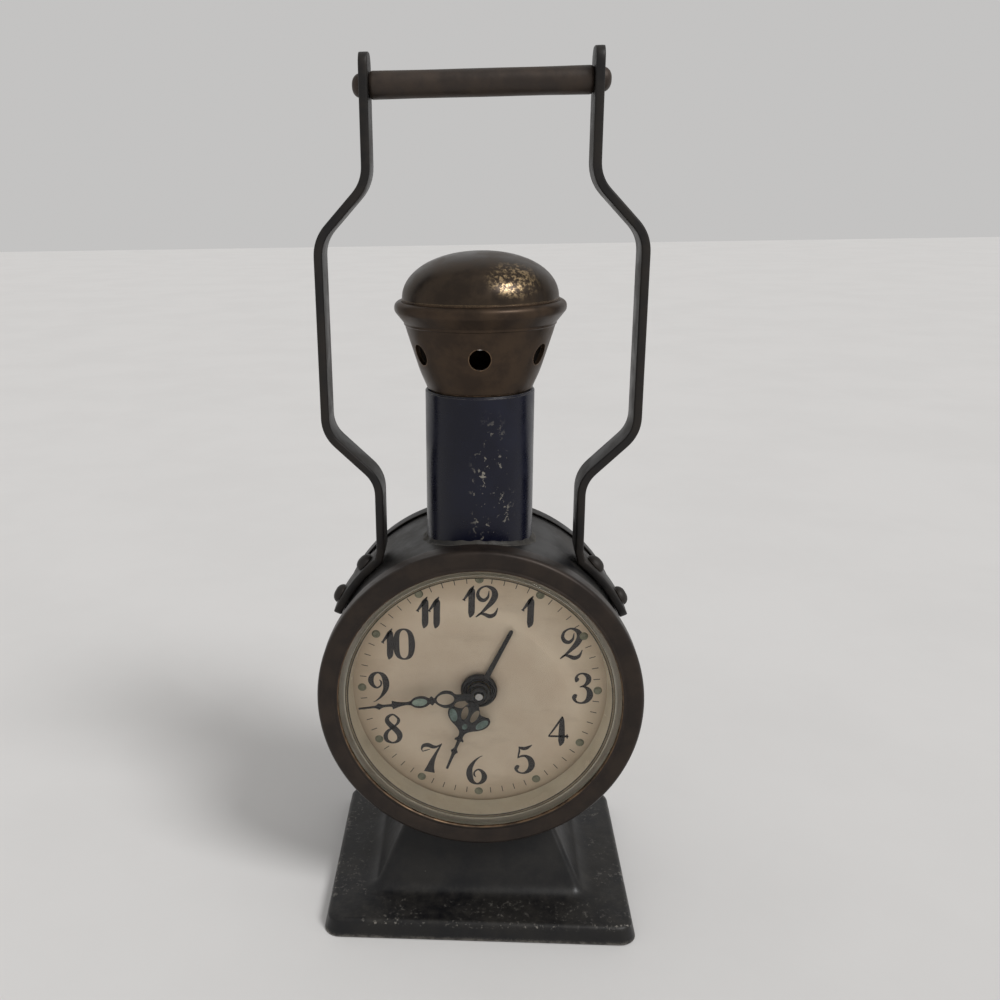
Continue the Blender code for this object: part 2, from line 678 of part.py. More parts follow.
def base_rings(inset, foot, steps):
    """The pressed base and its plinth, from the rim's foot up past the drum, drawn in by the inset.
    The rim's round and the plinth's fillet each have that many steps."""
    half_width, half_depth = BASE_WIDTH / 2 - inset, BASE_DEPTH / 2 - inset
    top = RIM_HEIGHT - inset
    corner = BASE_CORNER - inset
    rings = [rounded_ring(half_width, half_depth, corner, foot)]
    for step in range(steps + 1):
        turn = math.radians(90) * step / steps
        drawn = RIM_DRAFT + RIM_ROUND * (1 - math.cos(turn))
        height = top - RIM_ROUND * (1 - math.sin(turn))
        rings.append(rounded_ring(half_width - drawn, half_depth - drawn, corner, height))
    lean = math.atan(PLINTH_LEAN_SHARE)
    for step in range(steps + 1):
        share = step / steps
        away = PLINTH_FILLET * ((1 - share) ** 2 - share**2 * math.sin(lean))
        height = top + PLINTH_FILLET * share**2 * math.cos(lean)
        rings.append(plinth_ring(away - inset, height))
    height = PLINTH_TOP
    rings.append(plinth_ring((RIM_HEIGHT - height) * PLINTH_LEAN_SHARE - inset, height - inset))
    return rings


def plinth_ring(away, height):
    corner = max(PLINTH_CORNER + away, PLINTH_CORNER / 3)
    return rounded_ring(PLINTH_WIDTH / 2 + away, PLINTH_DEPTH / 2 + away, corner, height)


def case_cylinder(name, radius):
    """A cutter as wide as the base, along the clock's axis."""
    half = BASE_DEPTH / 2 + OVERRUN
    return turned(name, rod(radius, half, -half), on_case(), segments=CASE_SEGMENTS)


def make_base():
    base = loft("base_plinth", base_rings(0, 0, 3), place(), BLACK_PAINT)
    inside = loft("base_hollow", base_rings(BASE_WALL, -OVERRUN, 1), place())
    cut(inside, case_cylinder("saddle_inside", SADDLE_RADIUS + BASE_WALL))
    cut(base, case_cylinder("saddle", SADDLE_RADIUS), inside)
    seat = AXIS_HEIGHT - SADDLE_RADIUS - BASE_WALL - CLEARANCE
    clamp_floor = AXIS_HEIGHT - math.sqrt(CASE_BORE**2 - (CLAMP_WIDTH / 2) ** 2) + CLEARANCE
    top = clamp_floor + CLAMP_THICKNESS + CLEARANCE
    screw_profile = [
        (0, top), (BASE_SCREW_SHANK, top), (BASE_SCREW_SHANK, seat), (BASE_SCREW_HEAD, seat),
        (BASE_SCREW_HEAD, seat - BASE_SCREW_HEAD_DEPTH), (0, seat - BASE_SCREW_HEAD_DEPTH),
    ]
    holes = []
    for side, y in zip(("front", "rear"), BASE_SCREW_PLACES):
        turned(f"base_screw_{side}", screw_profile, place(0, y), STEEL)
        hole = rod(BASE_SCREW_SHANK + CLEARANCE, AXIS_HEIGHT, seat - OVERRUN)
        holes.append(turned(f"base_screw_hole_{side}", hole, place(0, y)))
    cut(base, *holes)
    corners = [(-1, -1), (1, -1), (1, 1), (-1, 1)]
    outline = [(x * CLAMP_WIDTH / 2, y * CLAMP_LENGTH / 2) for x, y in corners]
    middle = clamp_floor + CLAMP_THICKNESS / 2
    mesh = flat_mesh("drum_clamp_plate", [outline], CLAMP_THICKNESS)
    cut(add("drum_clamp_plate", mesh, place(0, BASE_SCREW_MIDDLE, middle), STEEL), *holes)
    return base, holes


def make_drum(base_holes):
    profile = tube(CASE_RADIUS, CASE_BORE, -CASE_FRONT, -CASE_REAR)
    drum = turned("case_drum", profile, on_case(), BLACK_PAINT, CASE_SEGMENTS, ring=True)
    chimney = rod(CHIMNEY_HOLE, AXIS_HEIGHT + BEZEL_RADIUS, AXIS_HEIGHT)
    cut(drum, turned("chimney_hole", chimney, place(), segments=BOSS_SEGMENTS), *base_holes)
    return drum


def make_bezel():
    skirt_bore = CASE_RADIUS + CLEARANCE
    back = BEZEL_FRONT + BEZEL_SKIRT
    outer = BEZEL_RADIUS
    face = [(BEZEL_OPENING, BEZEL_FRONT + BEZEL_LIP / 2), (BEZEL_OPENING + BEZEL_LIP / 2, BEZEL_FRONT)]
    for step in range(3):
        turn = math.radians(45) * step
        radius = outer - BEZEL_ROUND * (1 - math.sin(turn))
        face.append((radius, BEZEL_FRONT + BEZEL_ROUND * (1 - math.cos(turn))))
    inner = [(outer, back), (skirt_bore, back), (skirt_bore, BEZEL_SEAT), (BEZEL_OPENING, BEZEL_SEAT)]
    profile = along_case(face + inner)
    turned("bezel_ring", profile, on_case(), BEZEL_BRONZE, CASE_SEGMENTS, ring=True)

    rim = CASE_BORE - CLEARANCE
    rise = BEZEL_OPENING - CLEARANCE
    inside = rise - CRYSTAL_STEP_WALL
    step_front = CRYSTAL_FRONT - REFLECTOR_CREST
    step_back = CRYSTAL_BACK - REFLECTOR_CREST
    glass = [(0, step_front - CRYSTAL_RISE)]
    for share in (1 / 2, 1):
        glass.append((rise * share, step_front - CRYSTAL_RISE * (1 - share**2)))
    glass += [(rise, CRYSTAL_FRONT), (rim, CRYSTAL_FRONT), (rim, CRYSTAL_BACK), (inside, CRYSTAL_BACK)]
    glass += [(inside, step_back), (0, step_back - CRYSTAL_RISE)]
    turned("crystal", along_case(glass), on_case(), CLEAR_CRYSTAL, CASE_SEGMENTS)

    groove = GROOVE_RADIUS + GROOVE_WIDTH
    back = DIAL_Y - CLEARANCE
    ring = [
        (DIAL_OPENING, back - REFLECTOR_WALL / 2),
        (GROOVE_RADIUS, CREST_Y + GROOVE_DEPTH),
        (groove, CREST_Y + GROOVE_DEPTH),
        (groove, CREST_Y),
        (inside - CLEARANCE, LIP_Y),
        (rim, LIP_Y),
        (rim, LIP_Y + REFLECTOR_RIM),
        (groove + REFLECTOR_WALL, LIP_Y + REFLECTOR_RIM),
        (DIAL_OPENING + REFLECTOR_WALL, back),
    ]
    turned("reflector_ring", along_case(ring), on_case(), CREAM_ENAMEL, CASE_SEGMENTS, ring=True)


def make_chimney():
    foot = AXIS_HEIGHT + CASE_BORE / 2
    profile = tube(TUBE_RADIUS, TUBE_RADIUS - TUBE_WALL, TUBE_TOP, foot)
    chimney = turned("chimney_tube", profile, place(), NAVY_PAINT, TUBE_SEGMENTS, ring=True)
    cut(chimney, case_cylinder("chimney_seat", SADDLE_RADIUS))
    spigot = TUBE_RADIUS - TUBE_WALL - CLEARANCE
    outside = [(DOME_RADIUS, FLANGE_TOP)]
    for angle in FLANGE_ROLL_ANGLES:
        out, up = direction(angle, FLANGE_ROLL)
        outside.append((FLANGE_RADIUS - FLANGE_ROLL + out, FLANGE_TOP - FLANGE_ROLL + up))
    outside += [(COLLAR_HEAD_RADIUS, COLLAR_HEAD), (COLLAR_BELLY_RADIUS, COLLAR_FOOT + COLLAR_BELLY_HEIGHT)]
    outside += [(COLLAR_FOOT_RADIUS, COLLAR_FOOT), (spigot, COLLAR_FOOT)]
    outside.append((spigot, COLLAR_FOOT - COLLAR_SPIGOT))
    inside = [
        (spigot - COLLAR_WALL, COLLAR_FOOT - COLLAR_SPIGOT),
        (spigot - COLLAR_WALL, COLLAR_FOOT),
        (COLLAR_BELLY_RADIUS - COLLAR_WALL, COLLAR_FOOT + COLLAR_BELLY_HEIGHT),
        (COLLAR_HEAD_RADIUS - COLLAR_WALL, COLLAR_HEAD),
        (DOME_RADIUS - COLLAR_WALL, FLANGE_TOP),
    ]
    collar = turned("vent_collar", outside + inside, place(), ANTIQUE_BRONZE, TUBE_SEGMENTS, ring=True)
    for index in range(VENT_HOLES):
        turn = Matrix.Rotation(2 * math.pi * index / VENT_HOLES, 4, "Z")
        reach = rod(VENT_RADIUS, FLANGE_RADIUS + OVERRUN, TUBE_RADIUS / 2)
        hole = turned(f"vent_hole_{index}", reach, turn @ place(0, 0, COLLAR_FOOT + VENT_HEIGHT, ALONG_Y))
        cut(collar, hole)
    dome = []
    for wall, steps in ((0, range(DOME_STEPS + 1)), (DOME_WALL, (DOME_STEPS, DOME_STEPS // 2, 0))):
        for step in steps:
            turn = math.radians(90) * step / DOME_STEPS
            radius = (DOME_RADIUS - wall) * math.sin(turn) ** DOME_POWER_SHARE
            height = (DOME_HEIGHT - wall) * math.cos(turn) ** DOME_POWER_SHARE
            dome.append((radius if step else 0, DOME_FOOT + (height if step < DOME_STEPS else 0)))
    turned("vent_dome", dome, place(), ANTIQUE_BRONZE, TUBE_SEGMENTS)


def rounded_path(corners, radius, steps=3):
    """A line through the corners, with each inner corner rounded by a curve of about that radius."""
    path = [Vector(corners[0])]
    for before, corner, after in zip(corners, corners[1:], corners[2:]):
        corner = Vector(corner)
        back, ahead = (Vector(before) - corner), (Vector(after) - corner)
        reach = min(radius, back.length / 2, ahead.length / 2)
        start, end = corner + back.normalized() * reach, corner + ahead.normalized() * reach
        for step in range(steps + 1):
            share = step / steps
            path.append(start * (1 - share) ** 2 + corner * 2 * share * (1 - share) + end * share**2)
    path.append(Vector(corners[-1]))
    return path


def strip(path, thickness):
    """The outline of a strip of even thickness along a path."""
    sides = []
    for side in (1, -1):
        edge = []
        for index, point in enumerate(path):
            before, after = path[max(index - 1, 0)], path[min(index + 1, len(path) - 1)]
            along = (after - before).normalized()
            edge.append(point + side * Vector((-along.y, along.x)) * thickness / 2)
        sides.append(edge)
    return [tuple(point) for point in sides[0] + sides[1][::-1]]


def strap_path(side):
    """The middle of a strap's thickness, as (x, z) from the clock's axis, from its tip down."""
    first, second, third, fourth = (height - AXIS_HEIGHT for height in STRAP_BEND_HEIGHTS)
    meet = math.sqrt(STRAP_CURVE**2 - STRAP_FOOT_X**2)
    corners = [
        (STRAP_TOP_X, STRAP_TIP_HEIGHT - AXIS_HEIGHT), (STRAP_TOP_X, first), (STRAP_OUT_X, second),
        (STRAP_OUT_X, third), (STRAP_FOOT_X, fourth), (STRAP_FOOT_X, meet),
    ]
    path = rounded_path(corners, STRAP_BEND_RADIUS)[:-1]
    lift = Vector((STRAP_FOOT_X, meet + STRAP_THICKNESS))
    path.append(lift)
    for step in range(1, FOOT_STEPS + 1):
        share = step / FOOT_STEPS
        angle = STRAP_TOP_ANGLE + (STRAP_FOOT_ANGLE - STRAP_TOP_ANGLE) * share
        path.append(Vector(direction(angle, STRAP_CURVE)))
    return [Vector((side * point.x, point.y)) for point in path]


def make_handle(drum):
    half = STRAP_WIDTH / 2
    corner = STRAP_TIP_CORNER
    tip = STRAP_TIP_HEIGHT
    outline = [(-half, AXIS_HEIGHT), (half, AXIS_HEIGHT)]
    for side in (1, -1):
        middle = Vector((side * (half - corner), tip - corner))
        angles = (0, 45, 90) if side > 0 else (90, 135, 180)
        outline += [tuple(middle + Vector(direction(angle, corner))) for angle in angles]
    former_mesh = flat_mesh("strap_former", [outline], 2 * (STRAP_OUT_X + OVERRUN))
    stand = Matrix.Rotation(math.radians(90), 4, "Z") @ ALONG_Y
    former = add("strap_former", former_mesh, stand)
    grip_end = STRAP_TOP_X - STRAP_THICKNESS / 2 - CLEARANCE
    grip_profile = rod(GRIP_RADIUS, grip_end, -grip_end)
    grip = turned("handle_grip", grip_profile, place(0, 0, GRIP_HEIGHT, ALONG_X), STRAP_STEEL)
    for side, name in ((-1, "left"), (1, "right")):
        outline = strip(strap_path(side), STRAP_THICKNESS)
        strap = flat(f"handle_strap_{name}", [outline], -half, half, on_case(), STRAP_STEEL)
        boolean(strap, former, "INTERSECT")
        cut(strap, *grip_fixing(side, name, grip, grip_end))
        for place_name, drop in zip(("upper", "lower"), STRAP_RIVET_DROPS):
            angle = STRAP_TOP_ANGLE - math.degrees(drop / STRAP_CURVE)
            hole = strap_rivet(f"strap_rivet_{name}_{place_name}", side, angle)
            cut(strap, hole)
            cut(drum, hole)


def rivet_head(seat):
    """The outer end of a rivet's profile: a dome that ends on its seat."""
    return [(RIVET_HEAD * out, seat + RIVET_DOME * up) for out, up in RIVET_DOME_SHARES]


def grip_fixing(side, name, grip, grip_end):
    """A rivet through the top of a strap into the end of the grip, and the hole for it."""
    outer = STRAP_TOP_X + STRAP_THICKNESS / 2 + CLEARANCE
    inner = grip_end - GRIP_BORE_DEPTH + CLEARANCE
    turn = ALONG_X if side > 0 else Matrix.Rotation(math.radians(-90), 4, "Y")
    matrix = place(0, 0, GRIP_HEIGHT, turn)
    profile = rivet_head(outer) + [(RIVET_SHANK, outer), (RIVET_SHANK, inner), (0, inner)]
    turned(f"grip_rivet_{name}", profile, matrix, STRAP_STEEL)
    bore = rod(RIVET_SHANK + CLEARANCE, outer + OVERRUN, grip_end - GRIP_BORE_DEPTH)
    hole = turned(f"grip_bore_{name}", bore, matrix)
    cut(grip, hole)
    return [hole]


def strap_rivet(name, side, angle):
    """A rivet that holds a strap's foot on the drum, and the hole for it."""
    outer = STRAP_SEAT + STRAP_THICKNESS + CLEARANCE
    inner = CASE_BORE - 2 * CLEARANCE
    tilt = Matrix.Rotation(math.radians(side * (90 - angle)), 4, "Y")
    matrix = place(0, 0, AXIS_HEIGHT) @ tilt
    profile = rivet_head(outer) + [
        (RIVET_SHANK, outer), (RIVET_SHANK, inner), (RIVET_TAIL, inner),
        (RIVET_TAIL, inner - RIVET_TAIL_DEPTH), (0, inner - RIVET_TAIL_DEPTH),
    ]
    turned(name, profile, matrix, STRAP_STEEL, SMALL_SEGMENTS)
    hole = rod(RIVET_SHANK + CLEARANCE, outer + OVERRUN, inner - RIVET_TAIL_DEPTH)
    return turned(name + "_hole", hole, matrix)


def hand_loops(length, outline_shares, opening_shares):
    """A hand's outline and openings, pointing along +Y of its own plane."""
    edge = [(length * aside, length * out) for out, aside in outline_shares]
    loops = [edge + [(-x, y) for x, y in reversed(edge)]]
    for out, aside, half_length, half_width, lean in opening_shares:
        middle = Vector((length * aside, length * out))
        turn = Matrix.Rotation(math.radians(-lean), 2)
        oval = circle(length * half_width, OPENING_POINTS, stretch=length * half_length)
        loops.append([tuple(middle + turn @ Vector(point)) for point in oval])
    return loops


def pointing(matrix, turn_share):
    """Turns a piece on the clock's axis clockwise from twelve by a share of a turn."""
    return matrix @ Matrix.Rotation(-2 * math.pi * turn_share, 4, "Z")


def make_hand(name, loops, y, turn_share, boss, bore):
    matrix = pointing(on_case(), turn_share)
    back = y - HAND_BOSS_DEPTH / 4
    hand = flat(name, loops, back - HAND_THICKNESS, back, matrix, HAND_BLACK)
    profile = along_case(rod(boss, y - HAND_BOSS_DEPTH, y))
    centre = turned(name + "_boss", profile, on_case(), segments=BOSS_SEGMENTS)
    room = along_case(rod(bore, y - OVERRUN, y + OVERRUN))
    return cut(fuse(hand, centre), turned(name + "_bore", room, on_case()))


def make_hands():
    dial = [circle(DIAL_RADIUS, CASE_SEGMENTS), circle(ALARM_PIPE + CLEARANCE, BOSS_SEGMENTS)]
    face = flat("dial", dial, DIAL_Y, DIAL_BACK, on_case(), DIAL_PAPER)
    foot_end = FRONT_PLATE_BACK + PLATE_THICKNESS / 2
    foot = along_case(rod(DIAL_FOOT_RADIUS, DIAL_Y + DIAL_THICKNESS / 2, foot_end))
    for index, at in enumerate(DIAL_FEET):
        fuse(face, turned(f"dial_foot_{index}", foot, on_case(*at), segments=ARBOR_SEGMENTS))
    minute = hand_loops(MINUTE_LENGTH, MINUTE_OUTLINE_SHARES, MINUTE_OPENING_SHARES)
    make_hand("minute_hand", minute, MINUTE_HAND_Y, MINUTE_TURN_SHARE, MINUTE_BOSS,
              CENTRE_ARBOR + CLEARANCE)
    hour = hand_loops(HOUR_LENGTH, HOUR_OUTLINE_SHARES, HOUR_OPENING_SHARES)
    make_hand("hour_hand", hour, HOUR_HAND_Y, HOUR_TURN_SHARE, HOUR_BOSS, HOUR_PIPE + CLEARANCE)
    half = ALARM_HAND_WIDTH / 2
    pointer = [(half, ALARM_PIPE), (half, ALARM_LENGTH), (-half, ALARM_LENGTH), (-half, ALARM_PIPE)]
    make_hand("alarm_hand", [pointer], ALARM_HAND_Y, ALARM_TURN_SHARE, ALARM_BOSS,
              ALARM_PIPE + CLEARANCE)


def plate_holes():
    """The pivot and clearance holes of the two plates, as (name, place, radius in front, radius behind)."""
    pivot = PIVOT_RADIUS + CLEARANCE
    winder = WINDER_RADIUS + CLEARANCE
    spindle = CENTRE_ARBOR + CLEARANCE
    holes = [
        ("centre", CENTRE, spindle, spindle),
        ("alarm_setter", ALARM_SETTER, spindle, spindle),
        ("time_winder", TIME_WINDER, pivot, winder),
        ("alarm_winder", ALARM_WINDER, pivot, winder),
        ("third", THIRD, pivot, pivot),
        ("fourth", FOURTH, pivot, pivot),
        ("escape", ESCAPE, pivot, pivot),
        ("lever", LEVER, pivot, pivot),
        ("balance", BALANCE, pivot, BEARING_SCREW_RADIUS + CLEARANCE),
        ("verge", VERGE, pivot, pivot),
        ("hammer", HAMMER, pivot, ARBOR_RADIUS + CLEARANCE),
    ]
    for name, at in zip(PILLAR_NAMES, PILLARS):
        holes.append((f"pillar_{name}", at, PILLAR_SPIGOT + CLEARANCE, PILLAR_RADIUS + CLEARANCE))
    return holes


def make_plates():
    front_loops = [circle(PLATE_RADIUS, CASE_SEGMENTS)]
    rear_loops = [circle(PLATE_RADIUS, CASE_SEGMENTS)]
    for _, (x, z), front, rear in plate_holes():
        front_loops.append(circle(front, ARBOR_SEGMENTS, x, z))
        rear_loops.append(circle(rear, ARBOR_SEGMENTS, x, z))
    front_loops += [circle(DIAL_FOOT_RADIUS + CLEARANCE, ARBOR_SEGMENTS, *at) for at in DIAL_FEET]
    front = flat("front_plate", front_loops, FRONT_PLATE_Y, FRONT_PLATE_BACK, on_case(), BRASS)
    flat("rear_plate", rear_loops, REAR_PLATE_Y, REAR_PLATE_BACK, on_case(), BRASS)
    head_front = REAR_COVER_Y + CLEARANCE
    for name, at in zip(PILLAR_NAMES, PILLARS):
        pillar = along_case([
            (0, FRONT_PLATE_Y), (PILLAR_SPIGOT, FRONT_PLATE_Y),
            (PILLAR_SPIGOT, FRONT_PLATE_BACK + CLEARANCE), (PILLAR_RADIUS, FRONT_PLATE_BACK + CLEARANCE),
            (PILLAR_RADIUS, PILLAR_END), (COVER_SCREW_SHANK + CLEARANCE, PILLAR_END),
            (COVER_SCREW_SHANK + CLEARANCE, PILLAR_END - PILLAR_BORE_DEPTH),
            (0, PILLAR_END - PILLAR_BORE_DEPTH),
        ])
        turned(f"pillar_{name}", pillar, on_case(*at), BRASS)
        screw = along_case([
            (0, PILLAR_END - PILLAR_BORE_DEPTH + 2 * CLEARANCE),
            (COVER_SCREW_SHANK, PILLAR_END - PILLAR_BORE_DEPTH + 2 * CLEARANCE),
            (COVER_SCREW_SHANK, head_front), (COVER_SCREW_HEAD, head_front),
            (COVER_SCREW_HEAD, head_front + COVER_SCREW_HEAD_DEPTH / 2),
            (COVER_SCREW_HEAD * 3 / 4, head_front + COVER_SCREW_HEAD_DEPTH),
            (0, head_front + COVER_SCREW_HEAD_DEPTH),
        ])
        turned(f"cover_screw_{name}", screw, on_case(*at), STEEL)
    stud = along_case(rod(PIVOT_RADIUS, FRONT_PLATE_Y - HOUR_LAYER - MOTION_THICKNESS - CLEARANCE,
                          FRONT_PLATE_BACK - PLATE_THICKNESS / 2))
    fuse(front, turned("minute_wheel_stud", stud, on_case(*MINUTE_STUD), segments=ARBOR_SEGMENTS))


def gear(name, teeth, module, phase, start, end, at, material=None, bore=0.0, spoked=False):
    """A wheel or pinion between two places along Y."""
    loops = [tooth_loop(teeth, module, phase)]
    if bore:
        loops.append(circle(bore, SMALL_SEGMENTS))
    if spoked:
        loops += crossings(teeth, module)
    return flat(name, loops, start, end, on_case(*at), material)


def train_wheel(name, at, wheel, leaves, wheel_layer, leaf_layer):
    """A wheel and pinion on an arbor between the plates. Each of the two is (teeth, module, phase)."""
    arbor = arbor_between_plates(name, at, BRASS)
    start = layer(wheel_layer)
    disc = gear(name + "_disc", *wheel, start, start + WHEEL_THICKNESS, at)
    near = min(layer(leaf_layer) - LEAF_OVERHANG, start + WHEEL_THICKNESS / 2)
    far = max(layer(leaf_layer) + WHEEL_THICKNESS + LEAF_OVERHANG, start + WHEEL_THICKNESS / 2)
    pinion = gear(name + "_pinion", *leaves, near, far, at)
    fuse(arbor, disc, pinion)
    return arbor


def make_going_train():
    great_phase = math.radians(GREAT_ANGLE)
    start = layer(GREAT_LAYER)
    gear("time_great_wheel", GREAT_TEETH, GREAT_MODULE, great_phase, start, start + GREAT_THICKNESS,
         TIME_WINDER, BRASS, WINDER_RADIUS + CLEARANCE)
    centre_phase = meshed(GREAT_TEETH, great_phase, GREAT_ANGLE + 180, CENTRE_LEAVES)
    bore = CENTRE_ARBOR + CLEARANCE
    middle = layer(CENTRE_LAYER)
    centre = gear("centre_wheel", CENTRE_TEETH, CENTRE_MODULE, 0, middle, middle + WHEEL_THICKNESS,
                  CENTRE, BRASS, bore, spoked=True)
    fuse(centre, gear("centre_pinion", CENTRE_LEAVES, GREAT_MODULE, centre_phase, start - LEAF_OVERHANG,
                      middle + WHEEL_THICKNESS / 2, CENTRE, bore=bore))
    third_phase = meshed(CENTRE_TEETH, 0, THIRD_ANGLE, THIRD_LEAVES)
    train_wheel("third_wheel", THIRD, (THIRD_TEETH, THIRD_MODULE, 0),
                (THIRD_LEAVES, CENTRE_MODULE, third_phase), THIRD_LAYER, CENTRE_LAYER)
    fourth_phase = meshed(THIRD_TEETH, 0, FOURTH_ANGLE, FOURTH_LEAVES)
    train_wheel("fourth_wheel", FOURTH, (FOURTH_TEETH, FOURTH_MODULE, 0),
                (FOURTH_LEAVES, THIRD_MODULE, fourth_phase), FOURTH_LAYER, THIRD_LAYER)
    escape_phase = meshed(FOURTH_TEETH, 0, ESCAPE_ANGLE, ESCAPE_LEAVES)
    arbor = arbor_between_plates("escape_wheel", ESCAPE, STEEL)
    disc = ratchet("escape_disc", ESCAPE_TEETH, ESCAPE_RADIUS, layer(ESCAPE_LAYER), ESCAPE)
    fourth = layer(FOURTH_LAYER)
    pinion = gear("escape_pinion", ESCAPE_LEAVES, FOURTH_MODULE, escape_phase, fourth - LEAF_OVERHANG,
                  fourth + WHEEL_THICKNESS + LEAF_OVERHANG, ESCAPE)
    fuse(arbor, disc, pinion)


def ratchet(name, teeth, radius, start, at, material=None):
    """A wheel with slanted, pointed teeth."""
    loop = []
    for tooth in range(teeth):
        for share, reach in ((0.0, 1.0), (0.12, ESCAPE_ROOT_SHARE)):
            angle = 2 * math.pi * (tooth + share) / teeth
            loop.append((radius * reach * math.cos(angle), radius * reach * math.sin(angle)))
    return flat(name, [loop], start, start + WHEEL_THICKNESS, on_case(*at), material)


def spiral_outline(inner, outer, turns, steps, thickness):
    """A flat spring's spiral, as one closed outline."""
    path = []
    count = turns * steps
    for step in range(count + 1):
        reach = inner + (outer - inner) * step / count
        path.append(Vector(direction(360 * step / steps, reach)))
    return strip(path, thickness)


def make_springs():
    outline = spiral_outline(SPRING_INNER, SPRING_OUTER, SPRING_TURNS, SPRING_STEPS, SPRING_THICKNESS)
    start = layer(SPRING_LAYER)
    for name, at in (("time_mainspring", TIME_WINDER), ("alarm_mainspring", ALARM_WINDER)):
        flat(name, [outline], start, start + SPRING_WIDTH, on_case(*at), BLUED_STEEL)
    outline = spiral_outline(HAIRSPRING_INNER, HAIRSPRING_OUTER, HAIRSPRING_TURNS, SPRING_STEPS,
                             HAIRSPRING_THICKNESS)
    start = layer(HAIRSPRING_LAYER)
    flat("hairspring", [outline], start, start + HAIRSPRING_WIDTH, on_case(*BALANCE), BLUED_STEEL)


def make_winders():
    """The two winding arbors, which run out through the rear cover, and their keys."""
    end = REAR_COVER_Y + KEY_GAP + KEY_LENGTH / 2
    start = FRONT_PLATE_Y
    shoulder = FRONT_PLATE_BACK + CLEARANCE
    key_start = REAR_COVER_Y + KEY_GAP
    key_end = key_start + KEY_LENGTH
    collar = layer(GREAT_LAYER + GREAT_THICKNESS) + CLEARANCE
    profile = along_case([
        (0, start), (PIVOT_RADIUS, start), (PIVOT_RADIUS, shoulder), (WINDER_RADIUS, shoulder),
        (WINDER_RADIUS, collar), (WINDER_COLLAR, collar), (WINDER_COLLAR, collar + PLATE_THICKNESS),
        (WINDER_RADIUS, collar + PLATE_THICKNESS), (WINDER_RADIUS, end), (0, end),
    ])
    for name, at in (("time", TIME_WINDER), ("alarm", ALARM_WINDER)):
        turned(f"{name}_winding_arbor", profile, on_case(*at), STEEL, SMALL_SEGMENTS)
        hub = along_case(rod(KEY_HUB_RADIUS, key_start, key_end - KEY_LENGTH / 3))
        key = turned(f"{name}_winding_key", hub, on_case(*at), STEEL, SMALL_SEGMENTS)
        fuse(key, key_wings(name, at, key_start + KEY_GAP, key_end))
        bore = along_case(rod(WINDER_RADIUS + CLEARANCE, key_start - OVERRUN, end + CLEARANCE))
        cut(key, turned(f"{name}_key_bore", bore, on_case(*at), segments=SMALL_SEGMENTS))


def key_wings(name, at, start, end):
    """The two flat wings of a winding key, drawn in at the waist, with an eye in each."""
    half = (end - start) / 2
    corners = [
        (KEY_HUB_RADIUS / 2, -half + KEY_WAIST / 2), (KEY_SPAN / 2, -half), (KEY_SPAN * 7 / 8, -half * 4 / 5),
        (KEY_SPAN, -half / 4), (KEY_SPAN, half / 4), (KEY_SPAN * 7 / 8, half * 4 / 5),
        (KEY_SPAN / 2, half), (KEY_HUB_RADIUS / 2, half - KEY_WAIST / 2),
    ]
    outline = corners + [(-x, y) for x, y in reversed(corners)]
    loops = [outline]
    for side in (-1, 1):
        loops.append(circle(KEY_EYE_RADIUS, ARBOR_SEGMENTS, side * KEY_SPAN * 2 / 3, 0))
    mesh = flat_mesh(f"{name}_key_wings", loops, KEY_THICKNESS)
    x, z = at
    return add(f"{name}_key_wings", mesh, place(x, (start + end) / 2, AXIS_HEIGHT + z))


def make_escapement():
    towards = BALANCE_ANGLE
    start = layer(LEVER_LAYER)
    turn = Matrix.Rotation(math.radians(towards - 90), 4, "Z")
    reach = BALANCE_DISTANCE - LEVER_FROM_ESCAPE
    fork = reach - ARBOR_RADIUS - 3 * CLEARANCE
    waist = LEVER_WAIST
    corners = [
        (waist, fork), (waist, waist), (LEVER_SPAN + waist, -LEVER_DROP), (LEVER_SPAN, -LEVER_DROP - waist),
        (LEVER_SPAN - waist, -LEVER_DROP - waist), (waist, -2 * waist),
    ]
    outline = corners + [(-x, y) for x, y in reversed(corners)]
    lever = arbor_between_plates("pallet_lever", LEVER, STEEL)
    arms = flat("lever_arms", [outline], start, start + LEVER_THICKNESS, on_case(*LEVER) @ turn)
    fuse(lever, arms)
    for side in (-1, 1):
        offset = Vector((side * LEVER_SPAN, -LEVER_DROP, 0))
        pin = along_case(rod(PALLET_RADIUS, layer(ESCAPE_LAYER), start + LEVER_THICKNESS / 2))
        matrix = on_case(*LEVER) @ turn @ Matrix.Translation(offset)
        fuse(lever, turned(f"pallet_{side}", pin, matrix, segments=ARBOR_SEGMENTS))

    screw_front = REAR_PLATE_Y - BEARING_SCREW_DEPTH / 4
    screw_back = screw_front + BEARING_SCREW_DEPTH
    staff = along_case([
        (0, FRONT_PLATE_Y), (PIVOT_RADIUS, FRONT_PLATE_Y), (PIVOT_RADIUS, FRONT_PLATE_BACK + CLEARANCE),
        (ARBOR_RADIUS, FRONT_PLATE_BACK + CLEARANCE), (ARBOR_RADIUS, screw_front - 2 * ARBOR_RADIUS),
        (0, screw_front - CLEARANCE),
    ])
    balance = turned("balance_wheel", staff, on_case(*BALANCE), BRASS, ARBOR_SEGMENTS)
    rim = [circle(BALANCE_RADIUS, BOSS_SEGMENTS)]
    inner = BALANCE_RADIUS - BALANCE_RIM
    for side in (1, -1):
        spread = [side * math.radians(angle) for angle in BALANCE_CROSSING_ANGLES]
        rim.append([(inner * math.cos(a), inner * math.sin(a)) for a in spread])
    start = layer(BALANCE_LAYER)
    fuse(balance, flat("balance_rim", rim, start, start + BALANCE_THICKNESS, on_case(*BALANCE)))
    screw = along_case(rod(BEARING_SCREW_RADIUS, screw_front, screw_back))
    turned("balance_bearing_screw", screw, on_case(*BALANCE), STEEL)
    return screw_back


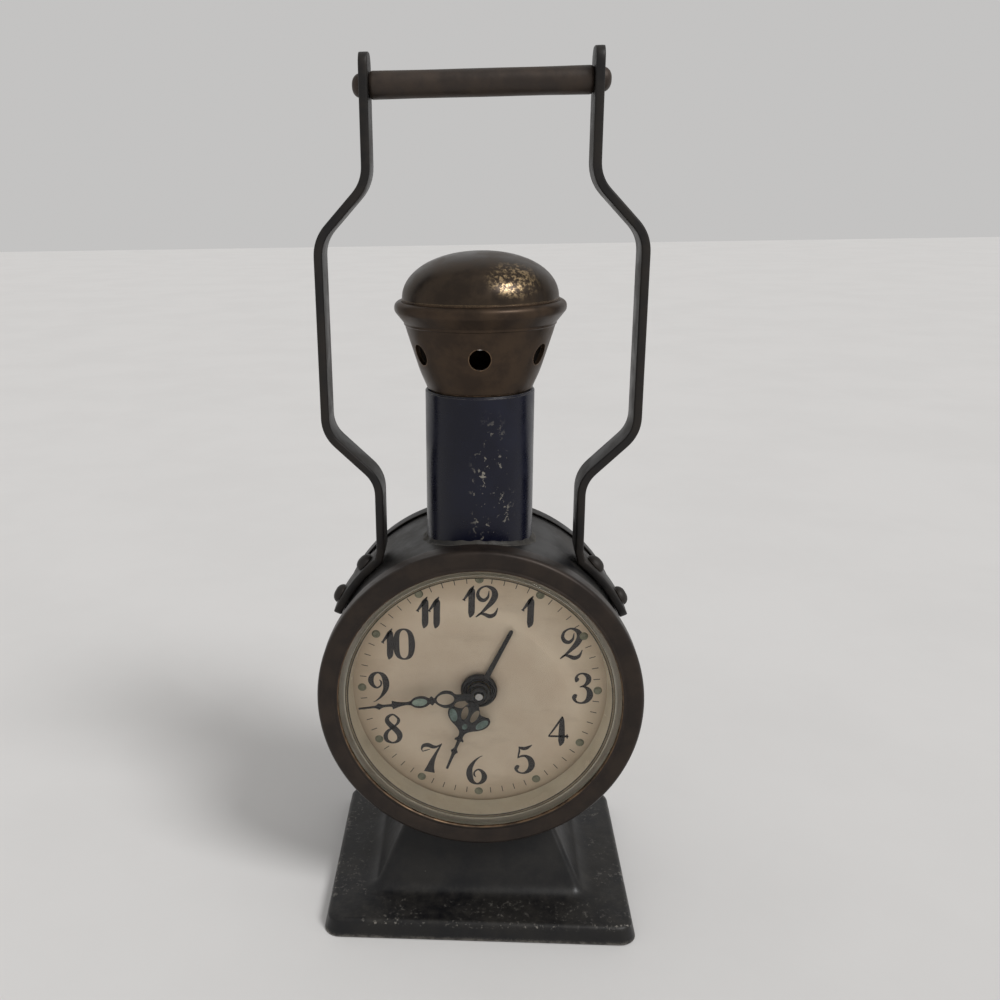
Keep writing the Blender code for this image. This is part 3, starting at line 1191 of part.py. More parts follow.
def make_regulator(cover):
    """The lever round the balance's bearing screw, whose end stands out through a slot in the cover."""
    start = REAR_PLATE_BACK + CLEARANCE
    bore = BEARING_SCREW_RADIUS + CLEARANCE
    profile = along_case(tube(REGULATOR_RING, bore, start, start + REGULATOR_THICKNESS))
    ring = turned("regulator_lever", profile, on_case(*BALANCE), BRASS, SMALL_SEGMENTS, ring=True)
    turn = Matrix.Rotation(math.radians(REGULATOR_ANGLE), 4, "Z")
    half = REGULATOR_ARM / 2
    inner = (bore + REGULATOR_RING) / 2
    arm = [(inner, -half), (REGULATOR_LENGTH + half, -half), (REGULATOR_LENGTH + half, half), (inner, half)]
    fuse(ring, flat("regulator_arm", [arm], start, start + REGULATOR_THICKNESS, on_case(*BALANCE) @ turn))
    tip_x, tip_z = beyond(BALANCE, REGULATOR_ANGLE, REGULATOR_LENGTH)
    finger = along_case(rod(half, start + REGULATOR_THICKNESS / 2, REAR_COVER_Y + REGULATOR_STANDOUT))
    fuse(ring, turned("regulator_finger", finger, on_case(tip_x, tip_z), segments=ARBOR_SEGMENTS))
    reach = half + 2 * CLEARANCE
    limit = REGULATOR_SWING + math.degrees(reach / REGULATOR_LENGTH)
    steps = [-limit + 2 * limit * index / 6 for index in range(7)]
    path = [Vector(direction(REGULATOR_ANGLE + step, REGULATOR_LENGTH)) for step in steps]
    slot = flat("regulator_slot", [strip(path, 2 * reach)], REAR_COVER_Y - OVERRUN, REAR_COVER_Y + OVERRUN,
                on_case(*BALANCE))
    cut(cover, slot)


def make_rear_cover():
    inner = REAR_RIM_RADIUS - REAR_COVER_WALL
    rim_front = REAR_COVER_Y - REAR_RIM_DEPTH
    face = REAR_COVER_Y - REAR_COVER_WALL
    bore = CASE_RADIUS + CLEARANCE
    profile = along_case([
        (bore, rim_front), (REAR_RIM_RADIUS, rim_front), (REAR_RIM_RADIUS, face),
        (inner, REAR_COVER_Y), (0, REAR_COVER_Y), (0, face), (bore, face),
    ])
    cover = turned("rear_cover", profile[1:] + profile[:1], on_case(), BLACK_PAINT, CASE_SEGMENTS, ring=True)
    margin = COVER_HOLE_MARGIN
    holes = [
        ("time_winder", TIME_WINDER, WINDER_RADIUS + margin),
        ("alarm_winder", ALARM_WINDER, WINDER_RADIUS + margin),
        ("time_set", CENTRE, CENTRE_ARBOR + margin),
        ("alarm_set", ALARM_SETTER, CENTRE_ARBOR + margin),
        ("stop_button", STOP_BUTTON, BUTTON_STEM + CLEARANCE),
    ]
    for name, at in zip(PILLAR_NAMES, PILLARS):
        holes.append((f"screw_{name}", at, COVER_SCREW_SHANK + CLEARANCE))
    for name, at, radius in holes:
        hole = along_case(rod(radius, REAR_COVER_Y - OVERRUN, REAR_COVER_Y + OVERRUN))
        cut(cover, turned(f"cover_hole_{name}", hole, on_case(*at)))
    return cover


def make_knobs():
    """The centre arbor and the alarm-setting arbor, with their ribbed knobs, and the stop button."""
    start = REAR_COVER_Y + KNOB_GAP
    end = start + KNOB_LENGTH
    inside = end - KNOB_LENGTH / 3
    outline = []
    for index in range(2 * KNOB_RIBS):
        radius = KNOB_RADIUS * (KNOB_RIB_SHARE if index % 2 else 1)
        angle = math.pi * index / KNOB_RIBS
        outline.append((radius * math.cos(angle), radius * math.sin(angle)))
    for name, at in (("time_set_knob", CENTRE), ("alarm_set_knob", ALARM_SETTER)):
        knob = flat(name, [outline], start, end, on_case(*at), BRASS)
        bore = along_case(rod(CENTRE_ARBOR + CLEARANCE, start - OVERRUN, inside + CLEARANCE))
        cut(knob, turned(name + "_bore", bore, on_case(*at), segments=SMALL_SEGMENTS))

    front = MINUTE_HAND_Y - HAND_BOSS_DEPTH - CLEARANCE
    arbor = along_case(rod(CENTRE_ARBOR, front, inside))
    centre = turned("centre_arbor", arbor, on_case(*CENTRE), STEEL, SMALL_SEGMENTS)
    near = FRONT_PLATE_Y - MINUTE_LAYER - MOTION_THICKNESS
    cannon_phase = 0.0
    fuse(centre, gear("cannon_pinion", CANNON_LEAVES, CANNON_MODULE, cannon_phase, near,
                      near + MOTION_THICKNESS, CENTRE))

    minute_phase = meshed(CANNON_LEAVES, cannon_phase, MINUTE_ANGLE, MINUTE_TEETH)
    bore = PIVOT_RADIUS + CLEARANCE
    minute = gear("minute_wheel", MINUTE_TEETH, CANNON_MODULE, minute_phase, near, near + MOTION_THICKNESS,
                  MINUTE_STUD, BRASS, bore)
    hour_y = FRONT_PLATE_Y - HOUR_LAYER - MOTION_THICKNESS
    leaf_phase = math.radians(MINUTE_ANGLE + 180)
    fuse(minute, gear("minute_pinion", MINUTE_LEAVES, HOUR_MODULE, leaf_phase, hour_y - CLEARANCE,
                      near + MOTION_THICKNESS / 2, MINUTE_STUD, bore=bore))
    hour_phase = meshed(MINUTE_LEAVES, leaf_phase, MINUTE_ANGLE + 180, HOUR_TEETH)
    hour = gear("hour_wheel", HOUR_TEETH, HOUR_MODULE, hour_phase, hour_y, hour_y + MOTION_THICKNESS, CENTRE,
                BRASS, HOUR_PIPE_BORE)
    pipe = tube(HOUR_PIPE, HOUR_PIPE_BORE, HOUR_HAND_Y - HAND_BOSS_DEPTH, hour_y + MOTION_THICKNESS / 2)
    fuse(hour, turned("hour_pipe", along_case(pipe), on_case(), segments=SMALL_SEGMENTS, ring=True))

    alarm_y = FRONT_PLATE_Y - ALARM_LAYER - MOTION_THICKNESS
    alarm = gear("alarm_wheel", ALARM_WHEEL_TEETH, ALARM_SET_MODULE, 0, alarm_y, alarm_y + MOTION_THICKNESS,
                 CENTRE, BRASS, ALARM_PIPE_BORE)
    pipe = tube(ALARM_PIPE, ALARM_PIPE_BORE, ALARM_HAND_Y - HAND_BOSS_DEPTH, alarm_y + MOTION_THICKNESS / 2)
    fuse(alarm, turned("alarm_pipe", along_case(pipe), on_case(), segments=SMALL_SEGMENTS, ring=True))
    setter_phase = meshed(ALARM_WHEEL_TEETH, 0, ALARM_SET_ANGLE, ALARM_SET_LEAVES)
    setter = turned("alarm_set_arbor", along_case(rod(CENTRE_ARBOR, alarm_y - CLEARANCE, inside)),
                    on_case(*ALARM_SETTER), STEEL, SMALL_SEGMENTS)
    fuse(setter, gear("alarm_set_pinion", ALARM_SET_LEAVES, ALARM_SET_MODULE, setter_phase, alarm_y,
                      alarm_y + MOTION_THICKNESS, ALARM_SETTER))

    button_end = REAR_COVER_Y + BUTTON_LENGTH
    flange = REAR_COVER_Y - REAR_COVER_WALL - CLEARANCE
    button = along_case([
        (0, REAR_COVER_Y - BUTTON_INSIDE), (BUTTON_STEM, REAR_COVER_Y - BUTTON_INSIDE),
        (BUTTON_STEM, flange - PLATE_THICKNESS), (BUTTON_RADIUS, flange - PLATE_THICKNESS),
        (BUTTON_RADIUS, flange), (BUTTON_STEM, flange),
        (BUTTON_STEM, button_end - BUTTON_HEAD), (BUTTON_RADIUS, button_end - BUTTON_HEAD),
        (BUTTON_RADIUS, button_end - BUTTON_HEAD / 4), (BUTTON_RADIUS * 3 / 4, button_end), (0, button_end),
    ])
    turned("alarm_stop_button", button, on_case(*STOP_BUTTON), STEEL)


def make_alarm_train(cover):
    start = layer(GREAT_LAYER)
    phase = math.radians(VERGE_ANGLE)
    gear("alarm_great_wheel", ALARM_GREAT_TEETH, GREAT_MODULE, phase, start, start + GREAT_THICKNESS,
         ALARM_WINDER, BRASS, WINDER_RADIUS + CLEARANCE)
    leaf_phase = meshed(ALARM_GREAT_TEETH, phase, VERGE_ANGLE, VERGE_LEAVES)
    verge = arbor_between_plates("verge_wheel", VERGE, STEEL)
    disc = ratchet("verge_disc", VERGE_TEETH, VERGE_RADIUS, layer(VERGE_LAYER), VERGE)
    pinion = gear("verge_pinion", VERGE_LEAVES, GREAT_MODULE, leaf_phase, start - LEAF_OVERHANG,
                  start + GREAT_THICKNESS + LEAF_OVERHANG, VERGE)
    fuse(verge, disc, pinion)

    arm_start = REAR_PLATE_BACK + 2 * CLEARANCE
    arm_end = arm_start + HAMMER_ARM
    arbor = along_case([
        (0, FRONT_PLATE_Y), (PIVOT_RADIUS, FRONT_PLATE_Y), (PIVOT_RADIUS, FRONT_PLATE_BACK + CLEARANCE),
        (ARBOR_RADIUS, FRONT_PLATE_BACK + CLEARANCE), (ARBOR_RADIUS, arm_end), (0, arm_end),
    ])
    hammer = turned("alarm_hammer", arbor, on_case(*HAMMER), STEEL, ARBOR_SEGMENTS)
    half = HAMMER_ARM / 2
    hang = Matrix.Rotation(math.radians(HAMMER_HANG_ANGLE), 4, "Z")
    arm = [(-half, -half), (HAMMER_REACH, -half), (HAMMER_REACH, half), (-half, half)]
    fuse(hammer, flat("hammer_arm", [arm], arm_start, arm_end, on_case(*HAMMER) @ hang))
    head_x, head_z = beyond(HAMMER, HAMMER_HANG_ANGLE, HAMMER_REACH)
    head = along_case(rod(HAMMER_HEAD_RADIUS, arm_start, arm_start + HAMMER_HEAD_DEPTH))
    fuse(hammer, turned("hammer_head", head, on_case(head_x, head_z)))
    towards = Matrix.Rotation(math.radians(HAMMER_ANGLE + 90), 4, "Z")
    verge_start = layer(VERGE_LAYER)
    waist = HAMMER_ARM / 2
    corners = [
        (waist, -2 * waist), (HAMMER_SPAN + waist, HAMMER_DROP), (HAMMER_SPAN, HAMMER_DROP), (waist, waist),
    ]
    pallets = corners + [(-x, y) for x, y in reversed(corners)]
    fuse(hammer, flat("hammer_pallets", [pallets], verge_start, verge_start + WHEEL_THICKNESS,
                      on_case(*HAMMER) @ towards))

    swing = math.radians(HAMMER_SWING)
    aside = HAMMER_HEAD_RADIUS + STUD_RADIUS + HAMMER_REACH * swing + CLEARANCE
    stud_x, stud_z = beyond((head_x, head_z), HAMMER_HANG_ANGLE - 90, aside)
    stud = along_case(rod(STUD_RADIUS, WALL_MIDDLE - STUD_LENGTH, WALL_MIDDLE))
    fuse(cover, turned("sounding_stud", stud, on_case(stud_x, stud_z)))


def main():
    _, base_holes = make_base()
    drum = make_drum(base_holes)
    make_bezel()
    make_chimney()
    make_handle(drum)
    make_hands()
    make_plates()
    make_going_train()
    make_springs()
    make_winders()
    make_escapement()
    cover = make_rear_cover()
    make_regulator(cover)
    make_knobs()
    make_alarm_train(cover)
    for obj in parts.objects:
        shade(obj)


main()
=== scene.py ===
import json
import math

import bmesh
import bpy
from mathutils import Matrix, Vector


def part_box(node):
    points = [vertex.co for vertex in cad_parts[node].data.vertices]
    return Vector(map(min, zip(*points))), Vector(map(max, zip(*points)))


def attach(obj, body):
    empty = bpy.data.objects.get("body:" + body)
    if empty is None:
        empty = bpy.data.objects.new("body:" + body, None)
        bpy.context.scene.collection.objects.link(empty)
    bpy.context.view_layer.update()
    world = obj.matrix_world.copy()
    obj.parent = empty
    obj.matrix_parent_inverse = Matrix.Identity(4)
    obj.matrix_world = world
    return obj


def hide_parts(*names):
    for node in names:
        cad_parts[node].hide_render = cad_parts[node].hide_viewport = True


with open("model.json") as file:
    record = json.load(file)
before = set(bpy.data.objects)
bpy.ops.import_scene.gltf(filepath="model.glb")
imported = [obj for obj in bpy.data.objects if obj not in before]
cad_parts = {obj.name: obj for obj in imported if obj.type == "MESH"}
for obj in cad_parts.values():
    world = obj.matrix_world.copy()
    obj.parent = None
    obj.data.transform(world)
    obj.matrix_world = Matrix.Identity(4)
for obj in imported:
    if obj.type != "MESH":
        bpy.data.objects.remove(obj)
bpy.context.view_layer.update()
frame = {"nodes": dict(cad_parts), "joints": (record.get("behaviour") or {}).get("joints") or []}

# Shapes are drawn in millimetres, in the clock's own frame, and brought to metres at the end
METRES = 0.001
QUARTER = math.radians(90)


def ends(node, axis):
    """Where a CAD node begins and ends along an axis, in millimetres."""
    low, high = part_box(node)
    return low[axis] / METRES, high[axis] / METRES


def centre_of(node, axis):
    return sum(ends(node, axis)) / 2


# Depths along the clock's axis and heights, as the frame has them
AXIS = centre_of("bezel_ring", 2)
DRUM_FRONT, DRUM_REAR = ends("case_drum", 1)
BEZEL_FRONT, BEZEL_BACK = ends("bezel_ring", 1)
CRYSTAL_APEX = ends("crystal", 1)[0]
CREST, REFLECTOR_BACK = ends("reflector_ring", 1)
DIAL_FACE = ends("dial", 1)[0]
COVER_FACE = ends("rear_cover", 1)[1]
HAND_BACKS = {name: ends(name + "_hand", 1)[1] for name in ("minute", "hour", "alarm")}
TUBE_TOP = ends("chimney_tube", 2)[1]
FLANGE_TOP = ends("vent_collar", 2)[1]
DOME_FOOT, DOME_TOP = ends("vent_dome", 2)
STRAP_TIP = ends("handle_strap_left", 2)[1]
GRIP_HEIGHT = centre_of("handle_grip", 2)

# Radii round the clock's axis, and round the chimney's
CASE_RADIUS, BEZEL_RADIUS, BEZEL_OPENING = 35.8, 37.0, 32.1
GLASS_RADIUS, DIAL_RADIUS, DIAL_OPENING = 34.6, 33.0, 29.4
GROOVE_INSIDE, GROOVE_OUTSIDE = 29.95, 30.85
TUBE_RADIUS, TUBE_BORE = 12.2, 11.4
CLEARANCE = 0.3

for startup in [item for item in bpy.data.objects if item.type in ("LIGHT", "CAMERA")]:
    bpy.data.objects.remove(startup, do_unlink=True)


# Node helpers


def wire(tree, kind, inputs=None, **settings):
    """Adds a node, sets it up, and links any socket given as an input."""
    node = tree.nodes.new(kind)
    for name, value in settings.items():
        setattr(node, name, value)
    for key, value in (inputs or {}).items():
        if isinstance(value, bpy.types.NodeSocket):
            tree.links.new(value, node.inputs[key])
        else:
            node.inputs[key].default_value = value
    return node


def math_node(tree, operation, *values, clamp=False):
    node = wire(tree, "ShaderNodeMath", dict(enumerate(values)), operation=operation, use_clamp=clamp)
    return node.outputs[0]


def vector_node(tree, operation, *values, output=0):
    return wire(tree, "ShaderNodeVectorMath", dict(enumerate(values)), operation=operation).outputs[output]


def blend_colours(tree, share, first, second):
    first, second = (value if isinstance(value, bpy.types.NodeSocket) else (*value, 1.0)
                     for value in (first, second))
    return wire(tree, "ShaderNodeMix", {0: share, 6: first, 7: second}, data_type="RGBA").outputs[2]


def blend_values(tree, share, first, second):
    return wire(tree, "ShaderNodeMix", {0: share, 2: first, 3: second}, data_type="FLOAT").outputs[0]


def steps_between(tree, value, low, high):
    """A smooth step from 0 at the low value to 1 at the high one."""
    return wire(tree, "ShaderNodeMapRange", {"Value": value, "From Min": low, "From Max": high},
                interpolation_type="SMOOTHSTEP").outputs["Result"]


def effect(name, inputs, outputs):
    """A new shader node group with float inputs and the named outputs."""
    tree = bpy.data.node_groups.new(name, "ShaderNodeTree")
    for label, value in inputs.items():
        socket = tree.interface.new_socket(label, in_out="INPUT", socket_type="NodeSocketFloat")
        socket.default_value = value
    for label, kind in outputs.items():
        tree.interface.new_socket(label, in_out="OUTPUT", socket_type=kind)
    return tree, tree.nodes.new("NodeGroupInput").outputs, tree.nodes.new("NodeGroupOutput").inputs


def object_millimetres(tree, stretch=(1.0, 1.0, 1.0)):
    place = wire(tree, "ShaderNodeTexCoord").outputs["Object"]
    scale = tuple(share / METRES for share in stretch)
    return vector_node(tree, "MULTIPLY", place, scale)


def noise(tree, place, scale, detail=3.0, roughness=0.55):
    return wire(tree, "ShaderNodeTexNoise",
                {"Vector": place, "Scale": scale, "Detail": detail, "Roughness": roughness}).outputs["Fac"]


def make_edge_wear():
    """Where an outer edge is rubbed: 1 on the bare edge and 0 away from it."""
    tree, given, made = effect("edge_wear", {"Width": 0.5, "Patchiness": 0.6, "Amount": 1.0},
                               {"Wear": "NodeSocketFloat"})
    width = math_node(tree, "MULTIPLY", given["Width"], METRES)
    rounded = wire(tree, "ShaderNodeBevel", {"Radius": width}, samples=6).outputs["Normal"]
    straight = wire(tree, "ShaderNodeNewGeometry").outputs["Normal"]
    agreement = vector_node(tree, "DOT_PRODUCT", rounded, straight, output="Value")
    edge = steps_between(tree, math_node(tree, "SUBTRACT", 1.0, agreement), 0.015, 0.16)
    place = object_millimetres(tree)
    patches = steps_between(tree, noise(tree, place, 0.7, 5.0, 0.7), 0.38, 0.60)
    kept = blend_values(tree, given["Patchiness"], 1.0, patches)
    wear = math_node(tree, "MULTIPLY", math_node(tree, "MULTIPLY", edge, kept), given["Amount"], clamp=True)
    tree.links.new(wear, made["Wear"])
    return tree


def make_chips():
    """Small flakes of missing paint, gathered in clusters."""
    tree, given, made = effect("paint_chips", {"Scale": 1.2, "Amount": 0.3, "Clusters": 0.12},
                               {"Chips": "NodeSocketFloat"})
    place = object_millimetres(tree)
    flakes = wire(tree, "ShaderNodeTexNoise", {"Vector": place, "Scale": given["Scale"], "Detail": 5.0,
                                               "Roughness": 0.62, "Distortion": 0.6}).outputs["Fac"]
    gathered = noise(tree, place, given["Clusters"], 2.0, 0.5)
    joined = math_node(tree, "ADD", flakes, math_node(tree, "MULTIPLY", gathered, 0.35))
    limit = math_node(tree, "SUBTRACT", 0.98, math_node(tree, "MULTIPLY", given["Amount"], 0.3))
    sharp = math_node(tree, "MULTIPLY", math_node(tree, "SUBTRACT", joined, limit), 22.0, clamp=True)
    tree.links.new(sharp, made["Chips"])
    return tree


def make_grain():
    """Fine unevenness for the bump, and a broad slow change for colour and gloss."""
    tree, given, made = effect("surface_grain", {"Scale": 3.0, "Broad scale": 0.12, "Depth": 1.0},
                               {"Height": "NodeSocketFloat", "Broad": "NodeSocketFloat"})
    place = object_millimetres(tree)
    fine = noise(tree, place, given["Scale"], 4.0, 0.5)
    broad = noise(tree, place, given["Broad scale"], 5.0, 0.62)
    height = math_node(tree, "MULTIPLY", fine, given["Depth"])
    tree.links.new(height, made["Height"])
    tree.links.new(steps_between(tree, broad, 0.36, 0.66), made["Broad"])
    return tree


def make_dust():
    """Dust on what faces up."""
    tree, given, made = effect("settled_dust", {"Amount": 0.3}, {"Dust": "NodeSocketFloat"})
    normal = wire(tree, "ShaderNodeNewGeometry").outputs["Normal"]
    up = wire(tree, "ShaderNodeSeparateXYZ", {0: normal}).outputs["Z"]
    specks = steps_between(tree, noise(tree, object_millimetres(tree), 0.35, 7.0, 0.7), 0.35, 0.85)
    facing = steps_between(tree, up, 0.2, 1.0)
    dust = math_node(tree, "MULTIPLY", math_node(tree, "MULTIPLY", facing, specks), given["Amount"])
    tree.links.new(dust, made["Dust"])
    return tree


EDGE_WEAR, CHIPS, GRAIN, DUST = make_edge_wear(), make_chips(), make_grain(), make_dust()


def use(tree, group, **inputs):
    node = tree.nodes.new("ShaderNodeGroup")
    node.node_tree = group
    for name, value in inputs.items():
        node.inputs[name.replace("_", " ")].default_value = value
    return node.outputs


def new_finish(name, roughness=0.5, metallic=0.0, specular=0.5):
    material = bpy.data.materials.new(name)
    material.use_nodes = True
    tree = material.node_tree
    shader = tree.nodes["Principled BSDF"]
    shader.inputs["Roughness"].default_value = roughness
    shader.inputs["Metallic"].default_value = metallic
    shader.inputs["Specular IOR Level"].default_value = specular
    return material, tree, shader


def bump(tree, shader, height, distance):
    """Raises the surface by the height, up to a distance in millimetres."""
    raised = wire(tree, "ShaderNodeBump", {"Height": height, "Distance": distance * METRES})
    tree.links.new(raised.outputs["Normal"], shader.inputs["Normal"])


def painted(name, colour, tint, bare, gloss=(0.32, 0.5), wear=(0.45, 0.75, 0.8), chips=(1.2, 0.25, 0.12),
            dust=0.25, grain=(2.2, 0.02), patch=None, marks=None):
    """Paint over metal: two close paint colours, worn edges, flakes, a fine grain and a little dust."""
    material, tree, shader = new_finish(name, specular=0.3)
    grains = use(tree, GRAIN, Scale=grain[0], Broad_scale=0.10)
    worn = use(tree, EDGE_WEAR, Width=wear[0], Patchiness=wear[1], Amount=wear[2])["Wear"]
    flakes = use(tree, CHIPS, Scale=chips[0], Amount=chips[1], Clusters=chips[2])["Chips"]
    if patch:
        flakes = math_node(tree, "MULTIPLY", flakes, patch(tree))
    if marks:
        flakes = math_node(tree, "MAXIMUM", flakes, marks(tree))
    bared = math_node(tree, "MAXIMUM", worn, flakes)
    settled = use(tree, DUST, Amount=dust)["Dust"]
    paint = blend_colours(tree, grains["Broad"], colour, tint)
    paint = blend_colours(tree, settled, paint, (0.20, 0.18, 0.15))
    tree.links.new(blend_colours(tree, bared, paint, bare), shader.inputs["Base Color"])
    rough = blend_values(tree, grains["Broad"], *gloss)
    rough = blend_values(tree, settled, rough, 0.85)
    tree.links.new(blend_values(tree, bared, rough, 0.42), shader.inputs["Roughness"])
    tree.links.new(math_node(tree, "MULTIPLY", bared, 0.8), shader.inputs["Metallic"])
    height = math_node(tree, "SUBTRACT", grains["Height"], math_node(tree, "MULTIPLY", bared, 1.5))
    bump(tree, shader, height, grain[1])
    return material


def metal(name, colour, tint, bright, gloss=(0.28, 0.48), wear=(0.5, 0.5, 0.7), grain=(2.5, 0.012),
          metallic=1.0, spots=None):
    """Bare or browned metal: two tones, brighter rubbed edges and a fine grain."""
    material, tree, shader = new_finish(name, metallic=metallic)
    grains = use(tree, GRAIN, Scale=grain[0], Broad_scale=0.16)
    worn = use(tree, EDGE_WEAR, Width=wear[0], Patchiness=wear[1], Amount=wear[2])["Wear"]
    # Spots brighten the metal as worn edges do; on the dome they are partly a painted highlight
    if spots:
        worn = math_node(tree, "MAXIMUM", worn, spots(tree))
    tone = blend_colours(tree, grains["Broad"], colour, tint)
    tree.links.new(blend_colours(tree, worn, tone, bright), shader.inputs["Base Color"])
    rough = blend_values(tree, grains["Broad"], *gloss)
    tree.links.new(blend_values(tree, worn, rough, gloss[0]), shader.inputs["Roughness"])
    bump(tree, shader, grains["Height"], grain[1])
    return material


# Finishes


def near(tree, middle, reach, stretch=(1.0, 1.0, 1.0)):
    """1 at a place on the clock and 0 beyond the reach, all in millimetres."""
    place = vector_node(tree, "SUBTRACT", object_millimetres(tree), middle)
    away = vector_node(tree, "LENGTH", vector_node(tree, "MULTIPLY", place, stretch), output="Value")
    return steps_between(tree, away, reach, reach * 0.35)


# Painted highlight, partly real wear: a bright, glossier patch of rubbed specks set where the light's
# highlight falls on the dome
def rubbed_dome_and_highlight(tree):
    spot = near(tree, (7.0, -13.0, 150.6), 7.0, (1.0, 0.8, 1.5))
    specks = steps_between(tree, noise(tree, object_millimetres(tree), 0.9, 7.0, 0.75), 0.47, 0.62)
    return math_node(tree, "MULTIPLY", spot, specks)


def chipped_front(tree):
    return near(tree, (2.6, -11.5, 103.0), 25.0, (4.4, 1.0, 1.15))


def chipped_rim(tree):
    """Bare flecks along the rounded edge of the base's rim, thickest where the metal turns."""
    place = object_millimetres(tree)
    height = wire(tree, "ShaderNodeSeparateXYZ", {0: place}).outputs["Z"]
    below, above = steps_between(tree, height, 2.9, 3.9), steps_between(tree, height, 4.48, 4.25)
    band = math_node(tree, "MULTIPLY", below, above)
    flecks = steps_between(tree, noise(tree, place, 0.85, 6.0, 0.78), 0.56, 0.62)
    clusters = steps_between(tree, noise(tree, place, 0.13, 2.0), 0.38, 0.56)
    return math_node(tree, "MULTIPLY", band, math_node(tree, "MULTIPLY", flecks, clusters))


def axis_distance(tree):
    """How far a point is from the clock's axis, in millimetres."""
    place = vector_node(tree, "SUBTRACT", object_millimetres(tree), (0.0, 0.0, AXIS))
    flat = vector_node(tree, "MULTIPLY", place, (1.0, 0.0, 1.0))
    return vector_node(tree, "LENGTH", flat, output="Value")


def rubbed_opening(tree):
    """The bezel's opening, rubbed to a reddish gold."""
    inside = steps_between(tree, axis_distance(tree), BEZEL_OPENING + 0.35, BEZEL_OPENING + 0.05)
    worn = steps_between(tree, noise(tree, object_millimetres(tree), 0.25, 5.0, 0.7), 0.25, 0.65)
    return math_node(tree, "MULTIPLY", inside, worn)


CASE_PAINT = painted("case_paint", (0.007, 0.007, 0.008), (0.014, 0.012, 0.010), (0.16, 0.13, 0.10),
                     gloss=(0.34, 0.50), wear=(0.5, 0.8, 0.5), chips=(0.9, 0.02, 0.08), dust=0.10)
BASE_PAINT = painted("base_paint", (0.006, 0.006, 0.007), (0.013, 0.012, 0.011), (0.30, 0.28, 0.25),
                     gloss=(0.28, 0.44), wear=(1.5, 0.85, 0.8), chips=(1.1, 0.02, 0.10), dust=0.10,
                     marks=chipped_rim)
TUBE_PAINT = painted("tube_paint", (0.0035, 0.004, 0.012), (0.006, 0.007, 0.018), (0.30, 0.28, 0.24),
                     gloss=(0.24, 0.36), wear=(0.5, 0.7, 0.7), chips=(0.75, 0.72, 0.16), dust=0.0,
                     grain=(1.2, 0.02), patch=chipped_front)
BEZEL_BRONZE = metal("bezel_bronze", (0.022, 0.016, 0.013), (0.034, 0.024, 0.018), (0.24, 0.15, 0.085),
                     gloss=(0.36, 0.5), wear=(0.4, 0.7, 0.35), metallic=0.6, spots=rubbed_opening)
CAP_BRONZE = metal("cap_bronze", (0.040, 0.027, 0.019), (0.068, 0.045, 0.029), (0.34, 0.22, 0.13),
                   gloss=(0.34, 0.50), wear=(0.45, 0.75, 0.8), metallic=0.8)
DOME_BRONZE = metal("dome_bronze", (0.036, 0.026, 0.019), (0.060, 0.042, 0.028), (0.50, 0.36, 0.20),
                    gloss=(0.28, 0.42), wear=(0.5, 0.7, 0.6), metallic=0.8, spots=rubbed_dome_and_highlight)
STRAP_STEEL = metal("strap_steel", (0.010, 0.009, 0.009), (0.020, 0.016, 0.013), (0.085, 0.058, 0.040),
                    gloss=(0.40, 0.58), wear=(0.35, 0.5, 0.7), grain=(1.6, 0.03), metallic=0.4)
GRIP_STEEL = metal("grip_steel", (0.032, 0.023, 0.018), (0.052, 0.036, 0.026), (0.12, 0.085, 0.060),
                   gloss=(0.42, 0.60), wear=(0.3, 0.5, 0.6), grain=(1.8, 0.03), metallic=0.4)
SOLDER = metal("solder_fillet", (0.025, 0.023, 0.021), (0.060, 0.054, 0.046), (0.15, 0.14, 0.12),
               gloss=(0.5, 0.75), wear=(0.3, 0.9, 0.4), grain=(1.4, 0.12), metallic=0.3)
NICKEL = metal("movement_steel", (0.42, 0.41, 0.39), (0.30, 0.28, 0.26), (0.62, 0.61, 0.59),
               gloss=(0.24, 0.40), wear=(0.3, 0.6, 0.5), grain=(3.0, 0.006))
BRASS = metal("movement_brass", (0.52, 0.37, 0.15), (0.36, 0.25, 0.10), (0.72, 0.56, 0.28),
              gloss=(0.26, 0.42), wear=(0.3, 0.6, 0.5), grain=(3.0, 0.006))
BLUED = metal("spring_steel", (0.030, 0.040, 0.110), (0.060, 0.050, 0.100), (0.20, 0.20, 0.30),
              gloss=(0.22, 0.36), wear=(0.2, 0.6, 0.5), grain=(3.0, 0.006))
HAND_BLACK = metal("hand_black", (0.008, 0.007, 0.008), (0.018, 0.014, 0.012), (0.06, 0.05, 0.04),
                   gloss=(0.30, 0.45), wear=(0.12, 0.6, 0.5), grain=(3.0, 0.006), metallic=0.2)


def make_enamel():
    """Glossy cream enamel, with painted shade: browner towards its outer edge, by the bezel."""
    material, tree, shader = new_finish("cream_enamel", 0.22)
    grains = use(tree, GRAIN, Scale=1.4, Broad_scale=0.14)
    cream = blend_colours(tree, grains["Broad"], (0.80, 0.74, 0.60), (0.73, 0.66, 0.52))
    specks = steps_between(tree, noise(tree, object_millimetres(tree), 1.1, 5.0, 0.75), 0.60, 0.74)
    cream = blend_colours(tree, math_node(tree, "MULTIPLY", specks, 0.4), cream, (0.34, 0.27, 0.18))
    # Painted shade: the outer band next to the bezel is darkened towards brown
    bezel_shade = math_node(tree, "MULTIPLY", steps_between(tree, axis_distance(tree), 30.9, 31.3), 0.35)
    tree.links.new(blend_colours(tree, bezel_shade, cream, (0.52, 0.38, 0.26)), shader.inputs["Base Color"])
    tree.links.new(blend_values(tree, grains["Broad"], 0.16, 0.28), shader.inputs["Roughness"])
    shader.inputs["Coat Weight"].default_value = 0.4
    shader.inputs["Coat Roughness"].default_value = 0.08
    bump(tree, shader, grains["Height"], 0.01)
    return material


